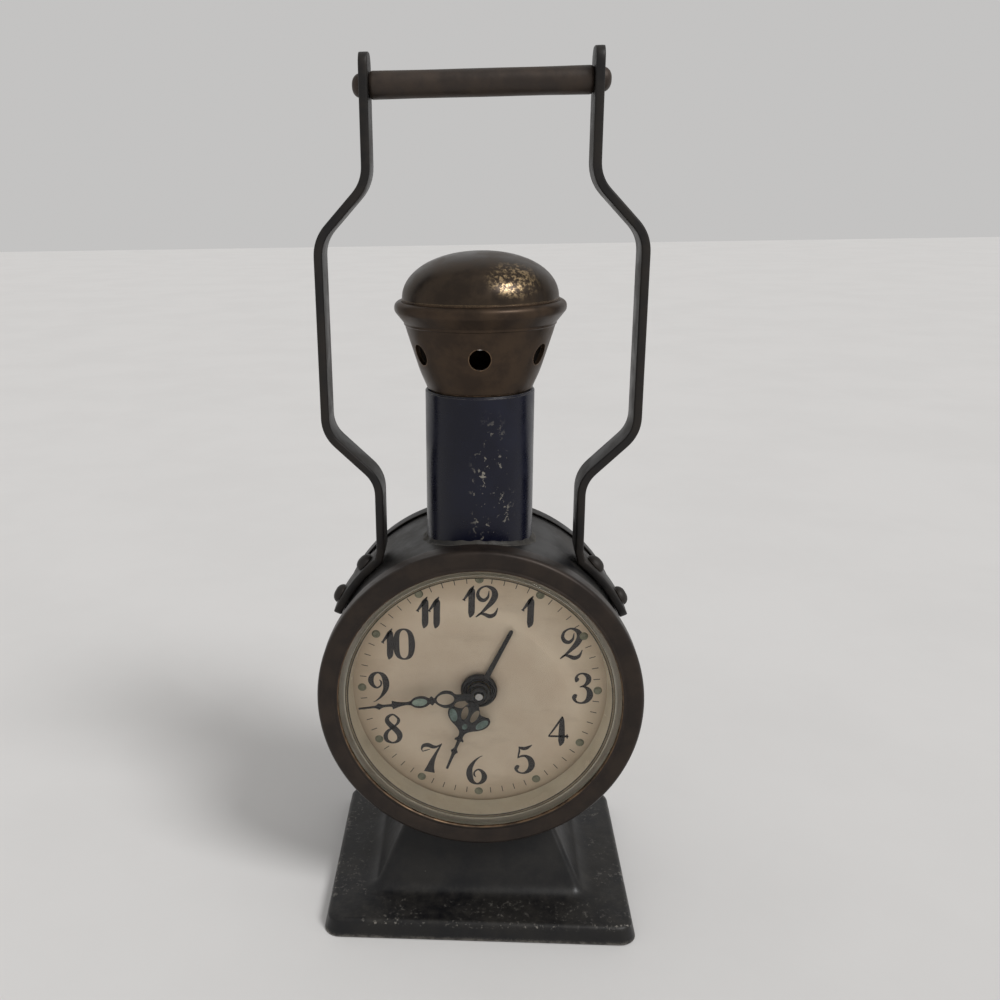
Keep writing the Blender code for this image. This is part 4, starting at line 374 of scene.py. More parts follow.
def make_dial_cream():
    """Aged cream of the dial: warm blotches, a darker border, painted shade round the hub and a fine tooth.
    """
    material, tree, shader = new_finish("dial_cream", 0.5, specular=0.3)
    grains = use(tree, GRAIN, Scale=5.0, Broad_scale=0.055)
    cream = blend_colours(tree, grains["Broad"], (0.74, 0.62, 0.47), (0.68, 0.55, 0.41))
    clouds = noise(tree, object_millimetres(tree, (0.8, 1.0, 2.2)), 0.07, 6.0, 0.65)
    blotch = steps_between(tree, clouds, 0.50, 0.72)
    cream = blend_colours(tree, math_node(tree, "MULTIPLY", blotch, 0.30), cream, (0.42, 0.31, 0.21))
    reach = axis_distance(tree)
    border = math_node(tree, "MULTIPLY", steps_between(tree, reach, 21.0, 30.0), 0.30)
    cream = blend_colours(tree, border, cream, (0.50, 0.39, 0.25))
    # Painted shade: the cream darkens towards the hub, round the hands' bosses
    hub = math_node(tree, "MULTIPLY", steps_between(tree, reach, 8.0, 3.8), 0.30)
    tree.links.new(blend_colours(tree, hub, cream, (0.30, 0.21, 0.15)), shader.inputs["Base Color"])
    tree.links.new(blend_values(tree, grains["Broad"], 0.42, 0.6), shader.inputs["Roughness"])
    bump(tree, shader, grains["Height"], 0.008)
    return material


def make_ink():
    """Printed numeral ink, thinner in places."""
    material, tree, shader = new_finish("numeral_ink", 0.45)
    thin = steps_between(tree, noise(tree, object_millimetres(tree), 1.3, 6.0, 0.7), 0.52, 0.75)
    ink = blend_colours(tree, thin, (0.016, 0.011, 0.010), (0.055, 0.036, 0.026))
    tree.links.new(ink, shader.inputs["Base Color"])
    tree.links.new(blend_values(tree, thin, 0.36, 0.6), shader.inputs["Roughness"])
    return material


def make_lume(name, fresh, aged):
    """Luminous paint, a grainy filling that has darkened with age."""
    material, tree, shader = new_finish(name, 0.75)
    grains = use(tree, GRAIN, Scale=2.6, Broad_scale=0.5)
    tree.links.new(blend_colours(tree, grains["Broad"], fresh, aged), shader.inputs["Base Color"])
    tree.links.new(blend_values(tree, grains["Broad"], 0.65, 0.85), shader.inputs["Roughness"])
    bump(tree, shader, grains["Height"], 0.06)
    return material


def make_glass():
    """The crystal: clear, with a faint mirror that grows towards grazing views, and a little haze."""
    material, tree, shader = new_finish("crystal", 0.03, 1.0)
    shader.inputs["Base Color"].default_value = (0.93, 0.95, 0.94, 1.0)
    mirror = wire(tree, "ShaderNodeFresnel", {"IOR": 1.22}).outputs[0]
    haze = steps_between(tree, noise(tree, object_millimetres(tree), 0.22, 5.0, 0.7), 0.45, 0.8)
    alpha = math_node(tree, "ADD", mirror, math_node(tree, "MULTIPLY", haze, 0.008), clamp=True)
    tree.links.new(alpha, shader.inputs["Alpha"])
    tree.links.new(blend_values(tree, haze, 0.02, 0.12), shader.inputs["Roughness"])
    return material


def make_groove():
    """The groove's floor: olive in the middle, with painted shade making it nearly black along both walls.
    """
    material, tree, shader = new_finish("groove_olive", 0.55, specular=0.3)
    middle = (GROOVE_INSIDE + GROOVE_OUTSIDE) / 2
    away = math_node(tree, "ABSOLUTE", math_node(tree, "SUBTRACT", axis_distance(tree), middle))
    grains = use(tree, GRAIN, Scale=2.0, Broad_scale=0.2)
    olive = blend_colours(tree, grains["Broad"], (0.17, 0.135, 0.085), (0.25, 0.20, 0.13))
    # Painted shade: the olive goes nearly black towards both walls of the groove
    tree.links.new(blend_colours(tree, steps_between(tree, away, 0.12, 0.27), olive, (0.035, 0.024, 0.013)),
                   shader.inputs["Base Color"])
    bump(tree, shader, grains["Height"], 0.01)
    return material


CREAM_ENAMEL, DIAL_CREAM, INK = make_enamel(), make_dial_cream(), make_ink()
MINUTE_LUME = make_lume("minute_hand_lume", (0.34, 0.42, 0.35), (0.19, 0.25, 0.21))
HOUR_LUME = make_lume("hour_hand_lume", (0.20, 0.27, 0.24), (0.10, 0.14, 0.12))
DOT_LUME = make_lume("dot_lume", (0.26, 0.26, 0.18), (0.16, 0.165, 0.11))
GROOVE_OLIVE_WALL_SHADE = make_groove()
CRYSTAL = make_glass()


# Shape helpers


def stand(name, data):
    """A new object in the scene."""
    obj = bpy.data.objects.new(name, data)
    bpy.context.scene.collection.objects.link(obj)
    return obj


def final_mesh(obj):
    """The object's mesh with its modifiers worked in."""
    return bpy.data.meshes.new_from_object(obj.evaluated_get(bpy.context.evaluated_depsgraph_get()))


def to_object(name, mesh, finish):
    """An object of a finished mesh, brought from millimetres to metres."""
    mesh.name = name
    mesh.transform(Matrix.Scale(METRES, 4))
    mesh.materials.clear()
    mesh.materials.append(finish)
    return stand(name, mesh)


def soften(obj, angle):
    obj.data.shade_smooth()
    obj.data.set_sharp_from_angle(angle=math.radians(angle))
    return obj


def fit(obj, body, *nodes, slot=None):
    """Makes a piece ride on its body and stand for its CAD nodes."""
    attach(obj, body)
    if nodes:
        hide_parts(*nodes)
    return obj


def piece(name, shape, finish, angle=38):
    bmesh.ops.remove_doubles(shape, verts=shape.verts, dist=0.0004)
    bmesh.ops.recalc_face_normals(shape, faces=shape.faces)
    mesh = bpy.data.meshes.new(name)
    shape.to_mesh(mesh)
    shape.free()
    return soften(to_object(name, mesh, finish), angle)


def carve(obj, *tools, angle=38):
    """Cuts the tools out of a piece."""
    for tool in tools:
        modifier = obj.modifiers.new(tool.name, "BOOLEAN")
        modifier.operation = "DIFFERENCE"
        modifier.solver = "EXACT"
        modifier.object = tool
    mesh = final_mesh(obj)
    obj.modifiers.clear()
    obj.data = mesh
    for tool in tools:
        bpy.data.objects.remove(tool, do_unlink=True)
    return soften(obj, angle)


def eased(points, closed, steps=4):
    """Rounds the corners of an outline. A point may carry the round's size as its third number."""
    count = len(points)
    smooth = []
    for index, point in enumerate(points):
        here = Vector(point[:2])
        size = point[2] if len(point) > 2 else 0
        if not size or (not closed and index in (0, count - 1)):
            smooth.append(tuple(here))
            continue
        back = Vector(points[index - 1][:2]) - here
        ahead = Vector(points[(index + 1) % count][:2]) - here
        start = here + back.normalized() * min(size, back.length / 2)
        end = here + ahead.normalized() * min(size, ahead.length / 2)
        for step in range(steps + 1):
            share = step / steps
            smooth.append(tuple(start * (1 - share) ** 2 + here * 2 * share * (1 - share) + end * share**2))
    return smooth


def skin(shape, rows, closed=False):
    """Faces between neighbouring rows of corners, which run round. Rows that don't close are capped."""
    count = len(rows[0])
    for first, second in zip(rows, rows[1:] + rows[:1] if closed else rows[1:]):
        for index in range(count):
            after = (index + 1) % count
            shape.faces.new((first[index], first[after], second[after], second[index]))
    if not closed:
        shape.faces.new(rows[0][::-1])
        shape.faces.new(rows[-1])
    return shape


def lathe(profile, matrix, count=96, ring=False):
    """Turns a profile of (radius, height) about the matrix's own Z."""
    shape = bmesh.new()
    rings = []
    for radius, height in profile:
        angles = [2 * math.pi * step / count for step in range(count if radius else 1)]
        rings.append([shape.verts.new(matrix @ Vector((radius * math.cos(a), radius * math.sin(a), height)))
                      for a in angles])
    for first, second in zip(rings, rings[1:] + rings[:1] if ring else rings[1:]):
        for step in range(count if len(first) + len(second) > 2 else 0):
            after = (step + 1) % count
            corners = [first[step % len(first)], first[after % len(first)],
                       second[after % len(second)], second[step % len(second)]]
            shape.faces.new(list(dict.fromkeys(corners)))
    return shape


def through(x=0.0, z=0.0):
    """A place beside the clock's axis, for a shape turned along it. Its own +Z points to the dial."""
    return Matrix.Translation((x, 0, AXIS + z)) @ Matrix.Rotation(QUARTER, 4, "X")


UPRIGHT = Matrix.Identity(4)
THROUGH = through()


def turned(name, profile, finish, matrix=UPRIGHT, count=96, ring=False, angle=38, steps=4):
    return piece(name, lathe(eased(profile, ring, steps), matrix, count, ring), finish, angle)


def plug(name, radius, start, end, matrix=THROUGH, count=40):
    """A plain rod that cuts a hole, between two heights along the matrix's own Z."""
    return turned(name, [(0, start), (radius, start), (radius, end), (0, end)], CASE_PAINT, matrix, count)


def along(profile):
    """A profile of (radius, y) as one of (radius, height towards the dial)."""
    return [(point[0], -point[1], *point[2:]) for point in profile]


def flat_shape(loops, thickness, edge=0.05):
    """A flat outline with its holes and softened edges, as a mesh in its own XY plane."""
    curve = bpy.data.curves.new("outline", "CURVE")
    curve.dimensions = "2D"
    curve.fill_mode = "BOTH"
    curve.extrude = thickness / 2 - edge
    curve.bevel_depth = edge
    curve.bevel_resolution = 1
    curve.offset = -edge
    for loop in loops:
        spline = curve.splines.new("POLY")
        spline.points.add(len(loop) - 1)
        spline.use_cyclic_u = True
        for point, (x, y) in zip(spline.points, loop):
            point.co = (x, y, 0, 1)
    holder = stand("outline", curve)
    mesh = final_mesh(holder)
    bpy.data.objects.remove(holder)
    bpy.data.curves.remove(curve)
    shape = bmesh.new()
    shape.from_mesh(mesh)
    bpy.data.meshes.remove(mesh)
    return shape


def moved(shape, matrix):
    bmesh.ops.transform(shape, matrix=matrix, verts=shape.verts)
    return shape


def slab(loops, front, back, matrix=THROUGH, edge=0.05):
    """A flat shape that faces the dial's side, between two places along the clock's axis."""
    lift = Matrix.Translation((0, (front + back) / 2, 0))
    return moved(flat_shape(loops, back - front, edge), lift @ matrix)


def circle(radius, count=64, x=0.0, y=0.0, stretch=None, lean=0.0):
    tall = radius if stretch is None else stretch
    turn = Matrix.Rotation(math.radians(-lean), 2)
    points = []
    for step in range(count):
        angle = 2 * math.pi * step / count
        spot = Vector((radius * math.cos(angle), tall * math.sin(angle)))
        points.append(tuple(Vector((x, y)) + turn @ spot))
    return points


def flowing(points, steps=4, closed=False):
    """A smooth line through the points, which may carry more numbers than their place."""
    count = len(points)
    line = []
    for index in range(count if closed else count - 1):
        around = [points[(index + shift) % count if closed else min(max(index + shift, 0), count - 1)]
                  for shift in (-1, 0, 1, 2)]
        for step in range(steps):
            t = step / steps
            weights = ((-t + 2 * t**2 - t**3) / 2, (2 - 5 * t**2 + 3 * t**3) / 2,
                       (t + 4 * t**2 - 3 * t**3) / 2, (t**3 - t**2) / 2)
            line.append(tuple(sum(weight * value for weight, value in zip(weights, values))
                              for values in zip(*around)))
    if not closed:
        line.append(tuple(points[-1]))
    return line


def merge(*shapes):
    """Joins several bmesh shapes into one."""
    whole = bmesh.new()
    for shape in shapes:
        mesh = bpy.data.meshes.new("joined")
        bmesh.ops.recalc_face_normals(shape, faces=shape.faces)
        shape.to_mesh(mesh)
        shape.free()
        whole.from_mesh(mesh)
        bpy.data.meshes.remove(mesh)
    return whole


# Base and case

BASE = {"width": 2 * ends("base_plinth", 0)[1], "depth": 2 * ends("base_plinth", 1)[1], "corner": 4.0,
        "rim": 4.4, "draft": 0.7, "round": 1.3, "wall": 1.1}
PLINTH = {"width": 51.2, "depth": 35.0, "corner": 3.0, "fillet": 2.8, "lean": 0.505, "top": 26.3}
DRUM_WALL = 0.9
STEP_OUTSIDE, STEP_INSIDE = 31.75, 31.2


def rounded_ring(half_width, half_depth, corner, height, steps=7):
    ring = []
    for index, (side_x, side_y) in enumerate(((1, 1), (-1, 1), (-1, -1), (1, -1))):
        for step in range(steps + 1):
            angle = QUARTER * (index + step / steps)
            ring.append((side_x * (half_width - corner) + corner * math.cos(angle),
                         side_y * (half_depth - corner) + corner * math.sin(angle), height))
    return ring


def base_rings(inset, foot, steps):
    """The pressed base's cross outlines from its foot up to the drum, drawn in by the inset."""
    half_width, half_depth = BASE["width"] / 2 - inset, BASE["depth"] / 2 - inset
    top, corner = BASE["rim"] - inset, BASE["corner"] - inset
    rings = []
    if not inset:
        rings.append(rounded_ring(half_width - 0.25, half_depth - 0.25, corner, foot))
        foot += 0.25
    rings.append(rounded_ring(half_width, half_depth, corner, foot))
    for step in range(steps + 1):
        turn = QUARTER * step / steps
        drawn = BASE["draft"] + BASE["round"] * (1 - math.cos(turn))
        rings.append(rounded_ring(half_width - drawn, half_depth - drawn, corner,
                                  top - BASE["round"] * (1 - math.sin(turn))))
    lean = math.atan(PLINTH["lean"])
    places = []
    for step in range(steps + 1):
        share = step / steps
        places.append((PLINTH["fillet"] * ((1 - share) ** 2 - share**2 * math.sin(lean)),
                       top + PLINTH["fillet"] * share**2 * math.cos(lean)))
    places.append(((BASE["rim"] - PLINTH["top"]) * PLINTH["lean"], PLINTH["top"] - inset))
    for away, height in places:
        away -= inset
        corner = max(PLINTH["corner"] + away, PLINTH["corner"] / 3)
        rings.append(rounded_ring(PLINTH["width"] / 2 + away, PLINTH["depth"] / 2 + away, corner, height))
    return rings


def loft(rings):
    shape = bmesh.new()
    return skin(shape, [[shape.verts.new(point) for point in ring] for ring in rings])


def make_base():
    """The pressed base and plinth, hollow below and cut to the drum's round above."""
    base = piece("pressed_base", loft(base_rings(0, 0, 8)), BASE_PAINT, 30)
    inside = piece("inside", loft(base_rings(BASE["wall"], -3.0, 4)), BASE_PAINT)
    saddle, reach = CASE_RADIUS + CLEARANCE, BASE["depth"] / 2 + 4.0
    carve(inside, plug("room", saddle + BASE["wall"], reach, -reach, count=160))
    carve(base, plug("saddle", saddle, reach, -reach, count=160), inside, angle=30)
    fit(base, "clock_case", "base_plinth", slot="case_paint")


def make_drum():
    """A thin drum, open at both ends, with the hole that leads up into the chimney."""
    inner = CASE_RADIUS - DRUM_WALL
    corners = [(inner, DRUM_FRONT), (CASE_RADIUS, DRUM_FRONT), (CASE_RADIUS, DRUM_REAR), (inner, DRUM_REAR)]
    drum = turned("drum_shell", along(corners), CASE_PAINT, THROUGH, 160, ring=True)
    carve(drum, plug("hole", 8.0, AXIS + 53.0, AXIS + 13.0, UPRIGHT, 48))
    fit(drum, "clock_case", "case_drum", slot="case_paint")


def make_bezel():
    """The bezel: a rounded shoulder, a broad slope, and a bead round the opening."""
    bore, seat = CASE_RADIUS + CLEARANCE + 0.05, DRUM_FRONT - CLEARANCE
    front, back, rim, mouth = BEZEL_FRONT, BEZEL_BACK, BEZEL_RADIUS, BEZEL_OPENING
    profile = along([
        (mouth, seat - 0.05, 0.1), (mouth, front + 0.45, 0.35), (mouth + 0.45, front + 0.25, 0.3),
        (mouth + 0.85, front + 0.55, 0.35), (mouth + 1.5, front + 0.25, 0.6), (rim - 0.65, front, 0.7),
        (rim, front + 0.8, 0.6), (rim, back - 0.25, 0.25), (rim - 0.25, back, 0.2), (bore, back, 0.1),
        (bore, seat, 0.1)])
    bezel = turned("bezel", profile, BEZEL_BRONZE, THROUGH, 180, ring=True)
    fit(bezel, "clock_case", "bezel_ring", slot="bezel_bronze")


def make_reflector():
    """The cream ring's cone, its groove and crest, and the flat rim under the crystal."""
    floor, lip, rim = CREST + 0.4, CREST + 1.3, GLASS_RADIUS - 0.2
    profile = along([
        (DIAL_OPENING, DIAL_FACE - 0.75, 0.15), (DIAL_OPENING + 0.1, DIAL_FACE - 1.1, 0.2),
        (GROOVE_INSIDE, floor, 0.05), (GROOVE_OUTSIDE, floor), (GROOVE_OUTSIDE - 0.1, CREST, 0.05),
        (GROOVE_OUTSIDE, CREST, 0.03), (STEP_INSIDE - CLEARANCE, lip, 0.1), (rim, lip, 0.1),
        (rim, lip + 1.55, 0.1), (rim - 2.0, lip + 1.55, 0.3), (DIAL_OPENING + 0.9, REFLECTOR_BACK)])
    ring = turned("reflector", profile, CREAM_ENAMEL, THROUGH, 180, ring=True)
    fit(ring, "clock_case", "reflector_ring", slot="cream_enamel")
    start, end = GROOVE_INSIDE + 0.02, GROOVE_OUTSIDE - 0.12
    line = along([(start, floor + 0.2), (start, floor - 0.04, 0.03), (end, floor - 0.04, 0.03),
                  (end, floor + 0.2)])
    fit(turned("reflector_groove", line, GROOVE_OLIVE_WALL_SHADE, THROUGH, 180, ring=True), "clock_case")


def make_crystal():
    """A shallow dome that steps forward through the bezel's opening, and its flat rim behind the bezel."""
    rise, thick, steps = 0.9, 1.0, 16
    rim, rim_front = GLASS_RADIUS - 0.2, DRUM_FRONT
    shares = [step / steps for step in range(steps + 1)]
    front = [(STEP_OUTSIDE * share, CRYSTAL_APEX + rise * share**2) for share in shares[:-1]]
    back = [(STEP_INSIDE * share, CRYSTAL_APEX + thick + rise * share**2) for share in shares]
    wall = [(STEP_OUTSIDE, CRYSTAL_APEX + rise, 0.3), (STEP_OUTSIDE, rim_front), (rim, rim_front, 0.15),
            (rim, rim_front + 0.95, 0.15), (STEP_INSIDE, rim_front + 0.95)]
    glass = turned("crystal_glass", along(front + wall + back[::-1]), CRYSTAL, THROUGH, 120, angle=50)
    fit(glass, "clock_case", "crystal", slot="crystal")


# Dial

# Strokes of each figure, in shares of its height: (x, y, width of the pen). A ring closes on itself.
FIGURES = {
    "0": [("ring", [(0.31, 0.985, 0.045), (0.49, 0.86, 0.125), (0.545, 0.5, 0.175), (0.49, 0.14, 0.125),
                    (0.31, 0.015, 0.045), (0.13, 0.14, 0.125), (0.075, 0.5, 0.175), (0.13, 0.86, 0.125)])],
    "1": [("line", [(0.275, 0.93, 0.05), (0.275, 0.84, 0.165), (0.268, 0.5, 0.17), (0.262, 0.2, 0.17),
                    (0.245, 0.09, 0.13), (0.215, 0.0, 0.03)]),
          ("line", [(0.335, 1.0, 0.02), (0.25, 0.86, 0.10), (0.14, 0.70, 0.075), (0.05, 0.57, 0.05)]),
          ("line", [(0.0, 0.565, 0.02), (0.05, 0.56, 0.05), (0.08, 0.515, 0.02)])],
    "2": [("line", [(0.40, 0.84, 0.02), (0.375, 0.66, 0.06), (0.27, 0.55, 0.095), (0.145, 0.58, 0.11),
                    (0.075, 0.72, 0.09), (0.13, 0.89, 0.06), (0.31, 0.985, 0.05), (0.51, 0.90, 0.12),
                    (0.575, 0.72, 0.165), (0.50, 0.52, 0.15), (0.34, 0.32, 0.10), (0.16, 0.13, 0.055),
                    (0.02, 0.015, 0.03)]),
          ("line", [(0.02, 0.015, 0.02), (0.14, 0.12, 0.05), (0.27, 0.105, 0.085), (0.42, 0.045, 0.115),
                    (0.55, 0.09, 0.095), (0.62, 0.20, 0.05), (0.655, 0.31, 0.02)])],
    "3": [("line", [(0.10, 0.70, 0.03), (0.13, 0.79, 0.12), (0.11, 0.86, 0.07), (0.19, 0.96, 0.045),
                    (0.34, 0.985, 0.055), (0.50, 0.89, 0.13), (0.515, 0.74, 0.13), (0.40, 0.60, 0.07),
                    (0.24, 0.545, 0.03)]),
          ("line", [(0.24, 0.545, 0.02), (0.38, 0.555, 0.05), (0.53, 0.46, 0.12), (0.585, 0.28, 0.17),
                    (0.50, 0.10, 0.12), (0.32, 0.015, 0.055), (0.14, 0.05, 0.06), (0.055, 0.17, 0.10),
                    (0.10, 0.25, 0.12), (0.16, 0.27, 0.03)])],
    "4": [("line", [(0.50, 1.0, 0.02), (0.40, 0.84, 0.05), (0.20, 0.56, 0.05), (0.02, 0.335, 0.03)]),
          ("line", [(0.0, 0.315, 0.02), (0.10, 0.325, 0.055), (0.45, 0.325, 0.055), (0.68, 0.325, 0.055),
                    (0.75, 0.325, 0.02)]),
          ("line", [(0.70, 0.40, 0.02), (0.69, 0.325, 0.055), (0.705, 0.25, 0.02)]),
          ("line", [(0.515, 1.0, 0.02), (0.495, 0.86, 0.12), (0.495, 0.5, 0.165), (0.49, 0.2, 0.17),
                    (0.475, 0.09, 0.12), (0.445, 0.0, 0.03)])],
    "5": [("line", [(0.135, 0.90, 0.02), (0.15, 0.78, 0.05), (0.125, 0.66, 0.045), (0.10, 0.54, 0.02)]),
          ("line", [(0.12, 0.93, 0.02), (0.20, 0.885, 0.085), (0.34, 0.875, 0.10), (0.46, 0.93, 0.07),
                    (0.56, 1.0, 0.02)]),
          ("line", [(0.09, 0.53, 0.02), (0.20, 0.60, 0.055), (0.36, 0.61, 0.08), (0.51, 0.50, 0.15),
                    (0.565, 0.31, 0.175), (0.49, 0.13, 0.13), (0.32, 0.02, 0.06), (0.14, 0.04, 0.05),
                    (0.05, 0.15, 0.09), (0.10, 0.235, 0.115), (0.16, 0.25, 0.03)])],
    "6": [("line", [(0.50, 1.0, 0.015), (0.40, 0.95, 0.03), (0.24, 0.80, 0.07), (0.10, 0.56, 0.14),
                    (0.085, 0.32, 0.175), (0.16, 0.11, 0.13), (0.33, 0.015, 0.05), (0.50, 0.10, 0.115),
                    (0.565, 0.27, 0.15), (0.50, 0.44, 0.10), (0.37, 0.52, 0.05), (0.25, 0.44, 0.045),
                    (0.235, 0.33, 0.05), (0.29, 0.25, 0.02)])],
    "7": [("line", [(0.05, 0.73, 0.02), (0.03, 0.82, 0.045), (0.09, 0.92, 0.10), (0.23, 0.945, 0.125),
                    (0.38, 0.885, 0.105), (0.51, 0.90, 0.06), (0.65, 1.0, 0.02)]),
          ("line", [(0.05, 0.72, 0.02), (0.15, 0.755, 0.03), (0.28, 0.80, 0.02)]),
          ("line", [(0.65, 1.0, 0.02), (0.54, 0.80, 0.06), (0.44, 0.60, 0.085), (0.35, 0.38, 0.14),
                    (0.295, 0.19, 0.20), (0.27, 0.08, 0.26), (0.255, 0.0, 0.30)])],
    "8": [("ring", [(0.49, 0.88, 0.06), (0.33, 0.985, 0.05), (0.16, 0.90, 0.09), (0.13, 0.76, 0.13),
                    (0.24, 0.62, 0.15), (0.42, 0.47, 0.165), (0.55, 0.29, 0.16), (0.50, 0.10, 0.10),
                    (0.31, 0.015, 0.05), (0.11, 0.09, 0.10), (0.06, 0.25, 0.12), (0.14, 0.41, 0.085),
                    (0.33, 0.55, 0.045), (0.48, 0.68, 0.07), (0.525, 0.79, 0.085)])],
}
FIGURE_WIDTHS = {"0": 0.62, "1": 0.36, "2": 0.66, "3": 0.65, "4": 0.75, "5": 0.63, "6": 0.63, "7": 0.66,
                 "8": 0.62}
FIGURE_SQUEEZE = {"3": 0.88, "4": 0.82, "5": 0.92, "6": 0.95, "8": 0.88}
FIGURE_HEIGHT = 7.8
PEN_WEIGHT, THINNEST_PEN, INK_DEPTH = 1.13, 0.012, 0.035
NUMERALS = {
    "12": (0.2, 22.0), "1": (10.95, 19.6), "2": (21.0, 11.8), "3": (23.9, 0.5), "4": (18.7, -10.8),
    "5": (10.8, -18.5), "6": (-0.5, -21.7), "7": (-11.3, -18.6), "8": (-20.5, -10.9), "9": (-23.5, 0.06),
    "10": (-18.8, 11.2), "11": (-11.7, 19.2),
}


def form_of(figure):
    """The figure whose strokes are drawn."""
    return "6" if figure == "9" else figure


def figure_width(figure):
    form = form_of(figure)
    return FIGURE_WIDTHS[form] * FIGURE_SQUEEZE.get(form, 1.0)


def pen_stroke(kind, nodes, place, squeeze=1.0, turned_over=False):
    """A stroke as a thin raised strip. The place is the figure's lower left corner."""
    closed = kind == "ring"
    line = flowing([(x * squeeze, y, width * PEN_WEIGHT) for x, y, width in nodes], 5, closed)
    count = len(line)
    shape = bmesh.new()
    rows = []
    for index, (x, y, width) in enumerate(line):
        before = line[(index - 1) % count if closed else max(index - 1, 0)]
        after = line[(index + 1) % count if closed else min(index + 1, count - 1)]
        heading = Vector((after[0] - before[0], after[1] - before[1])).normalized()
        aside = Vector((-heading.y, heading.x)) * max(width, THINNEST_PEN) / 2
        row = []
        for side, depth in ((1, 0), (-1, 0), (-1, INK_DEPTH), (1, INK_DEPTH)):
            spot = (Vector((x, y)) + side * aside) * FIGURE_HEIGHT
            if turned_over:
                spot = Vector((figure_width("6"), 1.0)) * FIGURE_HEIGHT - spot
            row.append(shape.verts.new((place[0] + spot.x, DIAL_FACE - depth, AXIS + place[1] + spot.y)))
        rows.append(row)
    return skin(shape, rows, closed)


def make_numerals():
    """Twelve upright figures. The nine is the six turned over, and the two ones of 11 stand closer."""
    for label, (middle_x, middle_z) in NUMERALS.items():
        gap = -0.02 if label == "11" else 0.01
        across = sum(figure_width(figure) for figure in label) + gap * (len(label) - 1)
        x, z = middle_x - across * FIGURE_HEIGHT / 2, middle_z - FIGURE_HEIGHT / 2
        strokes = []
        for figure in label:
            form = form_of(figure)
            squeeze, turned_over = FIGURE_SQUEEZE.get(form, 1.0), figure == "9"
            strokes += [pen_stroke(*stroke, (x, z), squeeze, turned_over) for stroke in FIGURES[form]]
            x += (figure_width(figure) + gap) * FIGURE_HEIGHT
        fit(piece("numeral_" + label, merge(*strokes), INK, 30), "clock_case")


def ring_tree(name, mark):
    """A node tree that sets marks evenly round a circle. The mark is a tick or a dot."""
    tree = bpy.data.node_groups.new(name, "GeometryNodeTree")
    tree.interface.new_socket("Geometry", in_out="OUTPUT", socket_type="NodeSocketGeometry")
    sockets = {}
    for label, kind, value in (("Count", "NodeSocketInt", 60), ("Ring radius", "NodeSocketFloat", 27.5),
                               ("Length", "NodeSocketFloat", 1.0), ("Width", "NodeSocketFloat", 0.2),
                               ("Thickness", "NodeSocketFloat", 0.03),
                               ("Finish", "NodeSocketMaterial", None)):
        sockets[label] = tree.interface.new_socket(label, in_out="INPUT", socket_type=kind)
        if value is not None:
            sockets[label].default_value = value
    given = tree.nodes.new("NodeGroupInput").outputs
    ring = wire(tree, "GeometryNodeMeshCircle",
                {"Vertices": given["Count"], "Radius": given["Ring radius"]})
    index = wire(tree, "GeometryNodeInputIndex").outputs[0]
    angle = math_node(tree, "MULTIPLY", math_node(tree, "DIVIDE", index, given["Count"]), 2 * math.pi)
    turn = wire(tree, "ShaderNodeCombineXYZ", {"Z": angle}).outputs[0]
    if mark == "tick":
        sides = {0: given["Length"], 1: given["Width"], 2: given["Thickness"]}
        size = wire(tree, "ShaderNodeCombineXYZ", sides).outputs[0]
        mesh = wire(tree, "GeometryNodeMeshCube", {"Size": size}).outputs["Mesh"]
    else:
        half, top = (math_node(tree, "MULTIPLY", given[label], 0.5) for label in ("Length", "Width"))
        mesh = wire(tree, "GeometryNodeMeshCone", {"Vertices": 20, "Side Segments": 1, "Fill Segments": 2,
                                                   "Radius Top": top, "Radius Bottom": half,
                                                   "Depth": given["Thickness"]}).outputs["Mesh"]
    placed = wire(tree, "GeometryNodeInstanceOnPoints",
                  {"Points": ring.outputs[0], "Instance": mesh, "Rotation": turn})
    real = wire(tree, "GeometryNodeRealizeInstances", {0: placed.outputs[0]}).outputs[0]
    done = wire(tree, "GeometryNodeSetMaterial", {"Geometry": real, "Material": given["Finish"]}).outputs[0]
    tree.links.new(done, tree.nodes.new("NodeGroupOutput").inputs[0])
    return tree, {label: socket.identifier for label, socket in sockets.items()}


def ring_of(name, made_tree, finish, matrix, angle=30, **values):
    """Runs a ring tree and gives the marks as one plain mesh, placed by the matrix."""
    tree, identifiers = made_tree
    holder = stand(name, bpy.data.meshes.new(name))
    modifier = holder.modifiers.new("marks", "NODES")
    modifier.node_group = tree
    for label, value in values.items():
        modifier[identifiers[label.replace("_", " ")]] = value
    modifier[identifiers["Finish"]] = finish
    mesh = final_mesh(holder)
    bpy.data.objects.remove(holder)
    mesh.transform(matrix)
    return soften(to_object(name, mesh, finish), angle)


TICKS, DOTS = ring_tree("ring_of_ticks", "tick"), ring_tree("ring_of_dots", "dot")


def make_dial():
    """The dial's plate, its figures, and the rings of minute ticks and luminous dots."""
    hole, back = 2.6, DIAL_FACE + 0.5
    outline = [(hole, DIAL_FACE, 0.05), (DIAL_RADIUS, DIAL_FACE, 0.1), (DIAL_RADIUS, back, 0.1),
               (hole, back, 0.05)]
    dial = turned("dial_face", along(outline), DIAL_CREAM, THROUGH, 160, ring=True)
    fit(dial, "clock_case", "dial", slot="dial_cream")
    make_numerals()
    raised = Matrix.Translation((0, DIAL_FACE - 0.005, 0)) @ THROUGH
    fit(ring_of("minute_ticks", TICKS, INK, raised, Count=60, Ring_radius=27.25, Length=1.5, Width=0.18,
                Thickness=0.03), "clock_case")
    fit(ring_of("luminous_dots", DOTS, DOT_LUME, raised, Count=12, Ring_radius=27.45, Length=2.0, Width=1.4,
                Thickness=0.36), "clock_case")


# Hands

